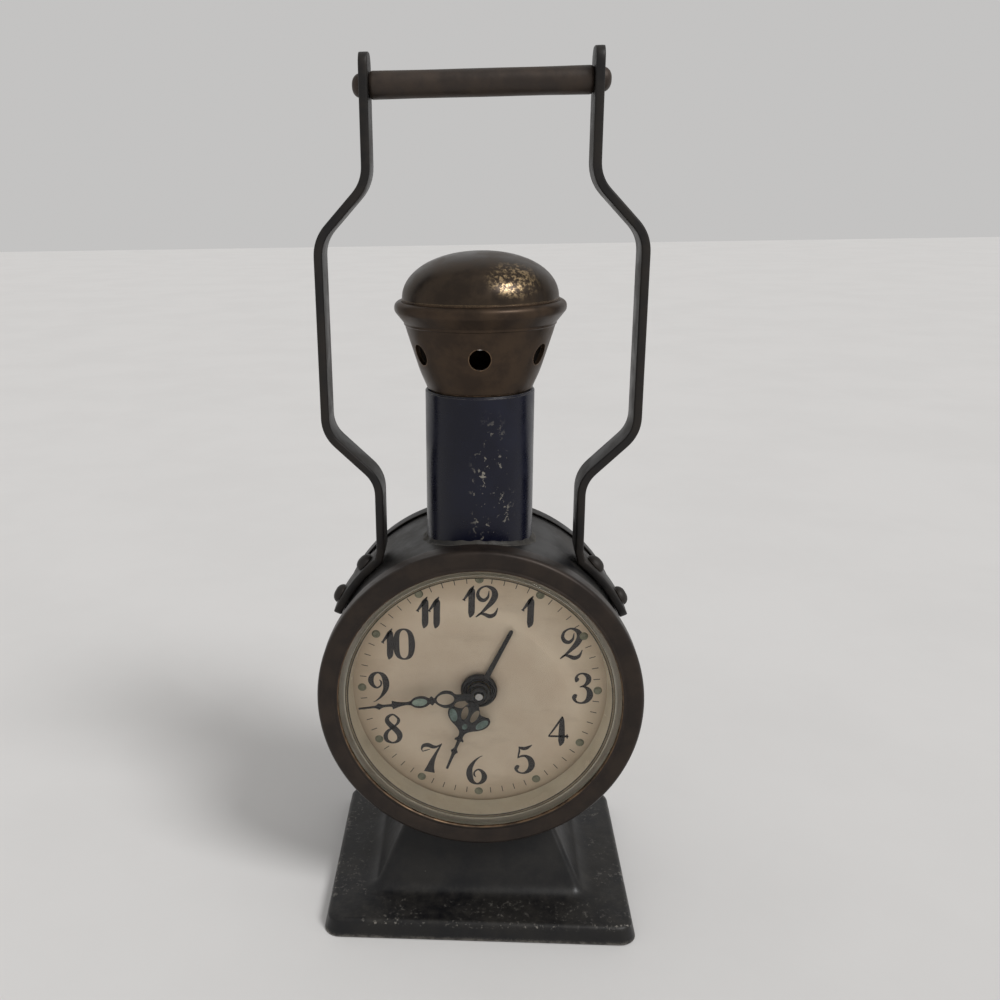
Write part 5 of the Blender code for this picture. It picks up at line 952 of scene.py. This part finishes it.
# Half outlines as shares of a hand's length: how far out, and how wide to one side.
MINUTE_OUTLINE = (
    (0.06, 0.030), (0.13, 0.030), (0.17, 0.030), (0.195, 0.040), (0.22, 0.066), (0.27, 0.078),
    (0.31, 0.066), (0.345, 0.040), (0.365, 0.020), (0.375, 0.030), (0.388, 0.040), (0.402, 0.026),
    (0.415, 0.030), (0.44, 0.045), (0.485, 0.052), (0.53, 0.042), (0.565, 0.018), (0.60, 0.012),
    (0.65, 0.018), (0.70, 0.032), (0.715, 0.036), (0.722, 0.012), (0.785, 0.010), (0.81, 0.018),
    (0.828, 0.027), (0.85, 0.012), (0.88, 0.008), (0.995, 0.0065),
)
HOUR_OUTLINE = (
    (0.10, 0.045), (0.15, 0.055), (0.20, 0.085), (0.24, 0.110), (0.25, 0.17), (0.245, 0.205),
    (0.275, 0.235), (0.33, 0.235), (0.385, 0.205), (0.43, 0.15), (0.46, 0.095), (0.50, 0.045),
    (0.54, 0.028), (0.58, 0.030), (0.605, 0.050), (0.622, 0.048), (0.625, 0.022), (0.70, 0.016),
    (0.735, 0.022), (0.762, 0.040), (0.79, 0.022), (0.85, 0.016), (0.995, 0.013),
)
# Openings: how far out, how far aside, half length, half width and lean, and whether it holds lume
MINUTE_OPENINGS = ((0.275, 0.0, 0.072, 0.052, 0, False), (0.487, 0.0, 0.062, 0.034, 0, True))
HOUR_OPENINGS = (
    (0.28, 0.057, 0.085, 0.036, -8, False), (0.28, -0.057, 0.085, 0.036, 8, False),
    (0.345, 0.165, 0.080, 0.040, -32, True), (0.345, -0.165, 0.080, 0.040, 32, True),
    (0.435, 0.0, 0.035, 0.028, 0, True),
)
TURNS = {"minute": 0.7283, "hour": 0.5575, "alarm": 0.0717}
LENGTHS = {"minute": 28.4, "hour": 21.5, "alarm": 17.2}
POINTER = ((0.66, 3.0), (0.64, 4.2), (0.56, 8.0), (0.50, 12.0), (0.47, 16.4), (0.36, 17.0),
           (0.0, LENGTHS["alarm"]))


def pointing(name):
    return THROUGH @ Matrix.Rotation(-2 * math.pi * TURNS[name], 4, "Z")


def blade_depths(name):
    """Front and back of a hand's blade, which sits midway along its boss."""
    return HAND_BACKS[name] - 0.6, HAND_BACKS[name] - 0.2


def boss(name, bore, rim):
    """A short pipe with a rounded shoulder, as a profile."""
    back = HAND_BACKS[name]
    front = back - 0.8
    return along([(bore, back, 0.05), (bore, front, 0.05), (rim - 0.25, front, 0.2),
                  (rim, back - 0.5, 0.15), (rim, back, 0.1)])


def openwork_hand(name, outline, openings, bore, rim, body, lume_finish):
    """A thin black hand with cut openings, luminous paint in some of them, and a raised boss."""
    length = LENGTHS[name]
    front, back = blade_depths(name)
    half = flowing([(length * aside, length * out) for out, aside in outline], 4)
    loops = [half + [(-x, y) for x, y in reversed(half)]]
    fills = []
    for out, aside, tall, wide, lean, filled in openings:
        x, y = length * aside, length * out
        loops.append(circle(length * wide, 28, x, y, length * tall, lean))
        if filled:
            fills.append(circle(length * wide * 1.05, 28, x, y, length * tall * 1.05, lean))
    blade = slab(loops, front, back, pointing(name), 0.07)
    whole = merge(blade, lathe(eased(boss(name, bore, rim), True), THROUGH, 48, True))
    hand = piece(name + "_hand_blade", whole, HAND_BLACK)
    fit(hand, body, name + "_hand", slot="hand_black")
    for index, fill in enumerate(fills):
        lume = slab([fill], front + 0.08, back - 0.02, pointing(name), 0.06)
        fit(piece(f"{name}_hand_lume_{index}", lume, lume_finish), body)


def make_hands():
    openwork_hand("minute", MINUTE_OUTLINE, MINUTE_OPENINGS, 1.2, 2.0, "hand_setting", MINUTE_LUME)
    openwork_hand("hour", HOUR_OUTLINE, HOUR_OPENINGS, 1.95, 2.7, "hour_hand", HOUR_LUME)
    back = HAND_BACKS["alarm"]
    disc = along([
        (2.75, back, 0.05), (2.75, back - 0.8, 0.1), (3.05, back - 0.8, 0.1), (3.2, back - 0.45, 0.1),
        (3.45, back - 0.4, 0.1), (3.6, back - 0.7, 0.1), (3.95, back - 0.65, 0.1), (4.25, back - 0.3, 0.15),
        (4.25, back, 0.1)])
    outline = list(POINTER) + [(-x, y) for x, y in reversed(POINTER[:-1])]
    pointer = slab([outline], *blade_depths("alarm"), pointing("alarm"), 0.07)
    whole = merge(pointer, lathe(eased(disc, True), THROUGH, 64, True))
    fit(piece("alarm_pointer", whole, HAND_BLACK), "alarm_hand", "alarm_hand", slot="hand_black")


# Chimney, collar and dome

# The solder's section: how far out from the tube, and how high above the drum
SOLDER_SECTION = ((-0.12, 0.0), (-0.12, 0.9), (0.08, 0.85), (0.30, 0.45), (0.60, 0.18), (0.95, 0.02))
VENT_HOLES, VENT_RADIUS, VENT_DROP = 6, 2.3, 11.0
DOME_RADIUS, DOME_WALL, DOME_FULLNESS = 17.1, 0.9, 0.95

# The collar's profile from its rim down the outside and up the inside: radius, drop and rounding
COLLAR_PROFILE = (
    (17.1, 0.0, 0.1), (17.9, 0.0, 0.5), (18.8, 0.7, 0.7), (18.8, 2.1, 0.5), (16.75, 4.65, 0.2),
    (16.75, 5.05, 0.15), (16.5, 5.25, 0.1), (16.05, 6.85, 0.1), (14.6, 11.4, 2.0), (13.35, 15.4, 2.0),
    (12.2, 18.0, 0.8), (11.75, 19.15, 0.2), (11.2, 19.2, 0.0), (11.2, 23.0, 0.1), (10.3, 23.0, 0.1),
    (10.3, 18.8, 0.4), (12.5, 15.2, 1.0), (15.6, 5.1, 0.6), (16.2, 0.0, 0.1),
)


def drum_height(x, radius=CASE_RADIUS):
    """How high the drum's surface is beside its axis."""
    return AXIS + math.sqrt(radius**2 - x**2)


def circle_place(share, radius):
    return radius * math.cos(2 * math.pi * share), radius * math.sin(2 * math.pi * share)


def make_tube():
    """The tube, whose lower end follows the drum."""
    count = 96
    shape = bmesh.new()
    rows = []
    for radius, height in ((TUBE_RADIUS, None), (TUBE_RADIUS, TUBE_TOP - 0.35),
                           (TUBE_RADIUS - 0.3, TUBE_TOP), (TUBE_BORE, TUBE_TOP), (TUBE_BORE, None)):
        row = []
        for step in range(count):
            x, y = circle_place(step / count, radius)
            row.append(shape.verts.new((x, y, height or drum_height(x, CASE_RADIUS + 0.05))))
        rows.append(row)
    chimney = piece("chimney", skin(shape, rows, True), TUBE_PAINT, 30)
    fit(chimney, "clock_case", "chimney_tube", slot="tube_paint")


def make_solder():
    """The rough bead of solder round the tube's foot."""
    count = 192
    bead = bmesh.new()
    rows = []
    for step in range(count):
        angle = 2 * math.pi * step / count
        waves = math.sin(angle * 11 + 0.6) * math.sin(angle * 7)
        ripple = 1 + 0.16 * waves + 0.10 * math.sin(angle * 23 + 1.0)
        row = []
        for away, lift in SOLDER_SECTION:
            x, y = circle_place(step / count, TUBE_RADIUS + away * ripple)
            sunk = 0.0 if lift else 0.05
            row.append(bead.verts.new((x, y, drum_height(x) + lift * ripple - sunk)))
        rows.append(row)
    fit(piece("foot_solder", skin(bead, rows, True), SOLDER, 50), "clock_case")


def make_cap():
    """The vented collar with its holes and rolled flange, and the dome on top."""
    profile = [(radius, FLANGE_TOP - drop, rounding) for radius, drop, rounding in COLLAR_PROFILE]
    collar = turned("collar", profile, CAP_BRONZE, UPRIGHT, 160, ring=True, steps=5)
    punches = []
    for index in range(VENT_HOLES):
        turn = Matrix.Rotation(2 * math.pi * index / VENT_HOLES, 4, "Z")
        place = turn @ Matrix.Translation((0, 0, FLANGE_TOP - VENT_DROP)) @ Matrix.Rotation(QUARTER, 4, "X")
        punches.append(plug(f"punch_{index}", VENT_RADIUS, 22, 5, place))
    carve(collar, *punches)
    fit(collar, "clock_case", "vent_collar", slot="cap_bronze")

    profile = []
    for wall, count in ((0.0, 22), (DOME_WALL, 12)):
        radius, height = DOME_RADIUS - wall, DOME_TOP - DOME_FOOT - wall
        turns = [QUARTER * step / count for step in range(count + 1)]
        rows = [(radius * math.sin(turn) ** DOME_FULLNESS,
                 DOME_FOOT + height * max(math.cos(turn), 0.0) ** DOME_FULLNESS) for turn in turns]
        profile += rows[::-1] if wall else rows
    dome = turned("dome", profile, DOME_BRONZE, UPRIGHT, 128, angle=50)
    fit(dome, "clock_case", "vent_dome", slot="cap_bronze")
    low, high = FLANGE_TOP - 0.05, FLANGE_TOP + 0.4
    seam = [(16.6, low), (17.3, low, 0.1), (17.3, high - 0.05, 0.15), (16.9, high), (16.6, high)]
    fit(turned("dome_seat", seam, CAP_BRONZE, UPRIGHT, 128, ring=True), "clock_case")


# Handle

STRAP = {"width": 2 * ends("handle_strap_left", 1)[1], "thick": 1.9, "top": 23.9, "out": 34.7, "foot": 23.0,
         "tip": STRAP_TIP, "curve": 37.05}
STRAP_BENDS = (169.9, 158.4, 116.2, 105.0)
STRAP_TOP_ANGLE = math.degrees(math.acos(STRAP["foot"] / STRAP["curve"]))
RIVET_ANGLES = [STRAP_TOP_ANGLE - math.degrees(drop / STRAP["curve"]) for drop in (4.6, 14.3)]
STRAP_FOOT_ANGLE, STRAP_BEND, STRAP_EDGE = 23.5, 3.5, 0.45
# How far from a rounded end the strap's outline is drawn closely
END_STATIONS = (0.12, 0.35, 0.75, 1.3, 2.0)


def strap_line(side):
    """The middle of a strap from its tip down to its foot, as (x, z)."""
    meet = math.sqrt(STRAP["curve"] ** 2 - STRAP["foot"] ** 2)
    first, second, third, fourth = STRAP_BENDS
    top, out, foot, bend = STRAP["top"], STRAP["out"], STRAP["foot"], STRAP_BEND
    corners = [(top, STRAP["tip"]), (top, first, bend), (out, second, bend), (out, third, bend),
               (foot, fourth, bend), (foot, AXIS + meet + 2.0)]
    line = [Vector(point) for point in eased(corners, False, 8)]
    for step in range(1, 25):
        angle = math.radians(STRAP_TOP_ANGLE + (STRAP_FOOT_ANGLE - STRAP_TOP_ANGLE) * step / 24)
        line.append(Vector((STRAP["curve"] * math.cos(angle), AXIS + STRAP["curve"] * math.sin(angle))))
    dense = []
    for start, end in zip(line, line[1:]):
        pieces = max(1, math.ceil((end - start).length / 3.0))
        dense += [start.lerp(end, step / pieces) for step in range(pieces)]
    dense.append(line[-1])
    return [Vector((side * point.x, point.y)) for point in dense]


def make_strap(side, name):
    line = strap_line(side)
    lengths = [0.0]
    for start, end in zip(line, line[1:]):
        lengths.append(lengths[-1] + (end - start).length)
    total = lengths[-1]
    half, tip_round, foot_round = STRAP["width"] / 2, 2.8, 2.0
    stations = [0.0, *END_STATIONS, tip_round]
    stations += [s for s in lengths if tip_round + 0.6 < s < total - foot_round - 0.6]
    stations += [total - s for s in reversed(END_STATIONS)] + [total]
    shape = bmesh.new()
    rows = []
    for station in stations:
        index = max(i for i, s in enumerate(lengths) if s <= station + 1e-9)
        index = min(index, len(line) - 2)
        share = (station - lengths[index]) / (lengths[index + 1] - lengths[index])
        spot = line[index].lerp(line[index + 1], min(share, 1.0))
        before, after = line[max(index - (share < 0.01), 0)], line[min(index + 1, len(line) - 1)]
        heading = (after - before).normalized()
        aside = Vector((-heading.y, heading.x))
        width = half
        for away, size in ((station, tip_round), (total - station, foot_round)):
            if away < size:
                width = half - size + math.sqrt(size**2 - (size - away) ** 2)
        row = []
        for across, deep, _ in rounded_ring(width, STRAP["thick"] / 2, STRAP_EDGE, 0, 3):
            place = spot + aside * deep
            row.append(shape.verts.new((place.x, across, place.y)))
        rows.append(row)
    strap = piece(f"strap_{name}", skin(shape, rows), STRAP_STEEL, 32)
    fit(strap, "clock_case", f"handle_strap_{name}", slot="strap_steel")


def rivet_profile(seat, foot):
    """A hammered, slightly flattened head on a plain shank."""
    return [(0, seat + 1.4), (0.9, seat + 1.38, 0.3), (1.7, seat + 1.05, 0.5), (2.25, seat + 0.4, 0.3),
            (2.38, seat - 0.15, 0.05), (1.1, seat - 0.15), (1.1, foot), (0, foot)]


def make_handle():
    """Both straps with their rivets, and the grip between them."""
    grip_place = Matrix.Translation((0, 0, GRIP_HEIGHT))
    for side, name in ((-1, "left"), (1, "right")):
        make_strap(side, name)
        seat = STRAP["top"] + STRAP["thick"] / 2 + 0.3
        turn = grip_place @ Matrix.Rotation(side * QUARTER, 4, "Y")
        head = turned(f"grip_rivet_head_{name}", rivet_profile(seat, 18.0), GRIP_STEEL, turn, 40)
        fit(head, "clock_case", f"grip_rivet_{name}", slot="strap_steel")
        shank = rivet_profile(CASE_RADIUS + 2.5, CASE_RADIUS - 1.6)
        for label, angle in zip(("upper", "lower"), RIVET_ANGLES):
            lean = Matrix.Rotation(math.radians(side * (90 - angle)), 4, "Y")
            tilt = Matrix.Translation((0, 0, AXIS)) @ lean
            head = turned(f"foot_rivet_{name}_{label}", shank, STRAP_STEEL, tilt, 40)
            fit(head, "clock_case", f"strap_rivet_{name}_{label}", slot="strap_steel")
    reach = STRAP["top"] - STRAP["thick"] / 2 - 0.05
    grip = [(0, reach), (2.5, reach, 0.1), (2.8, reach - 0.5, 0.3), (2.72, 12.0, 2.0), (2.76, 0.0, 4.0),
            (2.72, -12.0, 2.0), (2.8, 0.5 - reach, 0.3), (2.5, -reach, 0.1), (0, -reach)]
    bar = turned("grip_bar", grip, GRIP_STEEL, grip_place @ Matrix.Rotation(QUARTER, 4, "Y"), 64)
    fit(bar, "clock_case", "handle_grip", slot="strap_steel")


# Back

JOINT_PLACES = {joint["name"]: joint.get("pos_m") for joint in frame["joints"]}


def place_of(joint):
    """A joint's place as (x, z from the clock's axis), in millimetres."""
    x, _, z = JOINT_PLACES[joint]
    return x / METRES, z / METRES - AXIS


TIME_WINDER, ALARM_WINDER = place_of("time_winding_turn"), place_of("alarm_winding_turn")
ALARM_SETTER, BALANCE = place_of("alarm_setting_turn"), place_of("balance_swing")
STOP_BUTTON = (centre_of("alarm_stop_button", 0), centre_of("alarm_stop_button", 2) - AXIS)
COVER_SCREWS = {"left": (131.5, 31.5), "right": (48.5, 31.5), "lower": (270.0, 29.0)}
COVER_RADIUS, COVER_WALL = 36.5, 0.9
ARROW_REACH = 7.4


def around(degrees, reach):
    return reach * math.cos(math.radians(degrees)), reach * math.sin(math.radians(degrees))


def make_cover():
    """The rear cover: a rolled rim, a fine groove, and the holes that the arbors and the lever need."""
    face, rim, skirt = COVER_FACE, COVER_RADIUS, COVER_FACE - 4.0
    inside, groove = face - COVER_WALL, face - 0.3
    profile = along([
        (rim - 0.4, skirt, 0.1), (rim - 0.1, skirt, 0.15), (rim, inside), (rim, face - 0.6, 0.6),
        (rim - 0.6, face, 0.6), (rim - 2.3, face, 0.4), (rim - 2.8, groove, 0.3), (rim - 3.5, groove, 0.3),
        (rim - 4.0, face, 0.4), (0, face), (0, inside), (rim - 0.4, inside)])
    cover = turned("cover", profile, CASE_PAINT, THROUGH, 160, ring=True)
    holes = ((TIME_WINDER, 1.8), (ALARM_WINDER, 1.8), ((0.0, 0.0), 1.3), (ALARM_SETTER, 1.3),
             (STOP_BUTTON, 1.5))
    start, end = face - 3.5, face + 2.5
    tools = [plug(f"drill_{index}", radius, -start, -end, through(*place))
             for index, (place, radius) in enumerate(holes)]
    path = [Vector(BALANCE) + Vector(around(250 + step, 9.0)) for step in range(-27, 28, 3)]
    sides = []
    for aside in (1.3, -1.3):
        edge = []
        for index, spot in enumerate(path):
            heading = (path[min(index + 1, len(path) - 1)] - path[max(index - 1, 0)]).normalized()
            edge.append(tuple(spot + aside * Vector((-heading.y, heading.x))))
        sides.append(edge)
    tools.append(piece("slot", slab([sides[0] + sides[1][::-1]], start, end, edge=0.02), CASE_PAINT))
    carve(cover, *tools)
    fit(cover, "clock_case", "rear_cover", slot="case_paint")


def slotted_screw(name, place, radius, level, depth, finish):
    """A cheese-head screw with a driver's slot, standing on a level along the clock's axis."""
    profile = [(0, level), (radius, level, 0.05), (radius, level + depth * 0.6, 0.1),
               (radius * 0.8, level + depth, 0.25), (0, level + depth)]
    head = turned(name, along(profile), finish, through(*place), 40)
    turn = through(*place) @ Matrix.Rotation(math.radians(35), 4, "Z")
    cut = slab([bar_outline(radius * 1.2, 0.28)], level + depth * 0.45, level + depth * 1.6, turn, 0.02)
    return carve(head, piece("slot", cut, finish))


def bar_outline(half_length, half_width):
    return [(-half_length, -half_width), (half_length, -half_width), (half_length, half_width),
            (-half_length, half_width)]


def arrow_outline(start, end, sense):
    """A curved arrow from one angle to another round its key."""
    arc = [around(start + (end - start) * step / 14, ARROW_REACH) for step in range(15)]
    outer = [(x * 1.045, z * 1.045) for x, z in arc]
    inner = [(x * 0.955, z * 0.955) for x, z in arc]
    tip = around(end - sense * 14, ARROW_REACH)
    return outer + [around(end, ARROW_REACH * 1.16), tip, around(end, ARROW_REACH * 0.84)] + inner[::-1]


def make_cover_fittings():
    """Screw heads, arrows that show which way each key winds, and plus and minus at the regulator."""
    for name, place in COVER_SCREWS.items():
        label = f"cover_screw_head_{name}"
        fit(slotted_screw(label, around(*place), 2.1, COVER_FACE + 0.05, 1.1, NICKEL), "clock_case")
    winders = (("time", TIME_WINDER, (110, 20, 1)), ("alarm", ALARM_WINDER, (70, 160, -1)))
    for name, place, angles in winders:
        arrow = slab([arrow_outline(*angles)], COVER_FACE - 0.1, COVER_FACE + 0.12, through(*place))
        fit(piece(f"{name}_arrow", arrow, CASE_PAINT), "clock_case")
    for name, degrees, bars in (("faster_mark", 287, 2), ("slower_mark", 213, 1)):
        place = through(*(Vector(BALANCE) + Vector(around(degrees, 9.2))))
        shapes = []
        for turn in range(bars):
            crossed = place @ Matrix.Rotation(turn * QUARTER, 4, "Z")
            shapes.append(slab([bar_outline(1.0, 0.2)], COVER_FACE - 0.1, COVER_FACE + 0.1, crossed, 0.04))
        fit(piece(name, merge(*shapes), NICKEL), "clock_case")


def make_key(name, place, body):
    """A butterfly key: a turned hub and two wings with an eye in each."""
    start, end = ends(f"{name}_winding_key", 1)
    profile = [(1.7, start, 0.1), (2.4, start, 0.3), (2.6, start + 0.5, 0.2), (2.6, start + 2.6, 0.4),
               (2.1, start + 4.1, 0.4), (0, start + 4.1), (0, start + 3.3), (1.7, start + 3.3)]
    hub = lathe(eased(along(profile), False), through(*place), 40)
    half = (end - start - 1.1) / 2
    corners = [(1.2, 1.0 - half, 0.8), (4.6, -half, 1.6), (8.0, -half * 0.85, 1.6), (9.5, -half * 0.2, 1.4),
               (9.5, half * 0.2, 1.4), (8.0, half * 0.85, 1.6), (4.6, half, 1.6), (1.2, half - 1.0, 0.8)]
    outline = corners + [(-x, y, size) for x, y, size in reversed(corners)]
    loops = [eased(outline, True, 5), circle(1.2, 24, 6.3), circle(1.2, 24, -6.3)]
    lift = Matrix.Translation((place[0], (start + 1.1 + end) / 2, AXIS + place[1]))
    key = piece(f"{name}_key", merge(hub, moved(flat_shape(loops, 1.5, 0.3), lift)), NICKEL)
    fit(key, body, f"{name}_winding_key", slot="movement_steel")


def make_knob(name, place, body, node):
    """A small knob with a turned face and ribs round its rim."""
    start, end = ends(node, 1)
    profile = [(1.2, start, 0.1), (2.2, start, 0.2), (2.2, start + 0.9, 0.2), (3.75, start + 1.1, 0.3),
               (3.75, end - 0.5, 0.4), (3.2, end, 0.3), (1.6, end, 0.3), (1.3, end - 0.35, 0.2),
               (0, end - 0.35), (0, end - 1.6), (1.2, end - 1.6)]
    core = turned(f"{name}_core", along(profile), BRASS, through(*place), 64)
    fit(core, body, node, slot="movement_brass")
    rims = Matrix.Translation((0, (start + 1.3 + end - 0.4) / 2, 0)) @ through(*place)
    ribs = ring_of(f"{name}_ribs", TICKS, BRASS, rims, Count=26, Ring_radius=3.78, Length=0.75, Width=0.5,
                   Thickness=end - start - 1.9)
    fit(ribs, body)


def make_back():
    make_cover()
    make_cover_fittings()
    make_key("time", TIME_WINDER, "time_winding")
    make_key("alarm", ALARM_WINDER, "alarm_winding")
    make_knob("hand_setting", (0.0, 0.0), "hand_setting", "time_set_knob")
    make_knob("alarm_setting", ALARM_SETTER, "alarm_setting", "alarm_set_knob")
    start, end = ends("alarm_stop_button", 1)
    collar, head = start + 3.8, end - 2.0
    profile = [(0, start), (1.2, start, 0.1), (1.2, collar), (2.2, collar, 0.1), (2.2, collar + 1.0, 0.1),
               (1.2, collar + 1.0), (1.2, head), (2.2, head, 0.2), (2.2, head + 1.4, 0.5), (1.5, end, 0.4),
               (0, end)]
    button = turned("stop_button", along(profile), NICKEL, through(*STOP_BUTTON), 40)
    fit(button, "alarm_stop_button", "alarm_stop_button", slot="movement_steel")


# Pieces that stay as the CAD has them

KEPT = {
    BRASS: ("front_plate", "rear_plate", "pillar_left", "pillar_right", "pillar_lower", "time_great_wheel",
            "centre_wheel", "third_wheel", "fourth_wheel", "minute_wheel", "hour_wheel", "alarm_wheel",
            "alarm_great_wheel", "balance_wheel", "regulator_lever"),
    NICKEL: ("base_screw_front", "base_screw_rear", "drum_clamp_plate", "cover_screw_left",
             "cover_screw_right", "cover_screw_lower", "escape_wheel", "pallet_lever", "verge_wheel",
             "alarm_hammer", "centre_arbor", "alarm_set_arbor", "time_winding_arbor",
             "alarm_winding_arbor", "balance_bearing_screw"),
    BLUED: ("time_mainspring", "alarm_mainspring", "hairspring"),
}


def dress_kept_pieces():
    for finish, names in KEPT.items():
        for name in names:
            for holder in frame["nodes"][name].material_slots:
                holder.material = finish


# Floor, light and camera

ROOM_LIGHT, WINDOW_ENERGY = 0.55, 1.6
WINDOW_DIRECTION = (0.62, -0.50, 0.85)

# The camera solved from the photo's outlines, with the photo's own middle and size in pixels
CAMERA_PLACE = (-0.000369, -0.222905, 0.168571)
YAW, PITCH, ROLL = -0.071, 0.305, -0.019
FOCAL_PIXELS, PHOTO_PIXELS = 1002.446, 1000
PHOTO_MIDDLE = (409.874, 504.875)


def make_floor():
    material, tree, shader = new_finish("pale_floor", 0.85)
    grains = use(tree, GRAIN, Scale=0.8, Broad_scale=0.01)
    tree.links.new(blend_colours(tree, grains["Broad"], (0.70, 0.69, 0.68), (0.68, 0.67, 0.66)),
                   shader.inputs["Base Color"])
    shape = bmesh.new()
    reach = 3000.0
    corners = [(-reach, -reach, 0.0), (reach, -reach, 0.0), (reach, reach, 0.0), (-reach, reach, 0.0)]
    shape.faces.new([shape.verts.new(corner) for corner in corners])
    floor = piece("floor", shape, material)


def make_lights():
    world = bpy.data.worlds.new("studio")
    bpy.context.scene.world = world
    world.use_nodes = True
    light = world.node_tree.nodes["Background"]
    light.inputs["Color"].default_value = (1.0, 0.99, 0.98, 1.0)
    light.inputs["Strength"].default_value = ROOM_LIGHT
    data = bpy.data.lights.new("window", "SUN")
    data.energy = WINDOW_ENERGY
    data.angle = math.radians(20)
    lamp = stand("window", data)
    lamp.rotation_euler = Vector(WINDOW_DIRECTION).to_track_quat("Z", "Y").to_euler()


def make_camera():
    forward = Vector((math.sin(YAW) * math.cos(PITCH), math.cos(YAW) * math.cos(PITCH), -math.sin(PITCH)))
    right = Vector((math.cos(YAW), -math.sin(YAW), 0))
    up = right.cross(forward)
    across = right * math.cos(ROLL) + up * math.sin(ROLL)
    upward = up * math.cos(ROLL) - right * math.sin(ROLL)
    data = bpy.data.cameras.new("photo_camera")
    camera = stand("photo_camera", data)
    turn = Matrix((across, upward, -forward)).transposed().to_4x4()
    camera.matrix_world = Matrix.Translation(CAMERA_PLACE) @ turn
    data.sensor_width = 36.0
    data.lens = FOCAL_PIXELS / PHOTO_PIXELS * data.sensor_width
    data.shift_x = (PHOTO_PIXELS / 2 - PHOTO_MIDDLE[0]) / PHOTO_PIXELS
    data.shift_y = (PHOTO_MIDDLE[1] - PHOTO_PIXELS / 2) / PHOTO_PIXELS
    data.clip_start = 0.01
    bpy.context.scene.camera = camera


make_base()
make_drum()
make_bezel()
make_reflector()
make_crystal()
make_dial()
make_hands()
make_tube()
make_solder()
make_cap()
make_handle()
make_back()
dress_kept_pieces()
make_floor()
make_lights()
make_camera()
bpy.context.scene.view_settings.view_transform = "Standard"
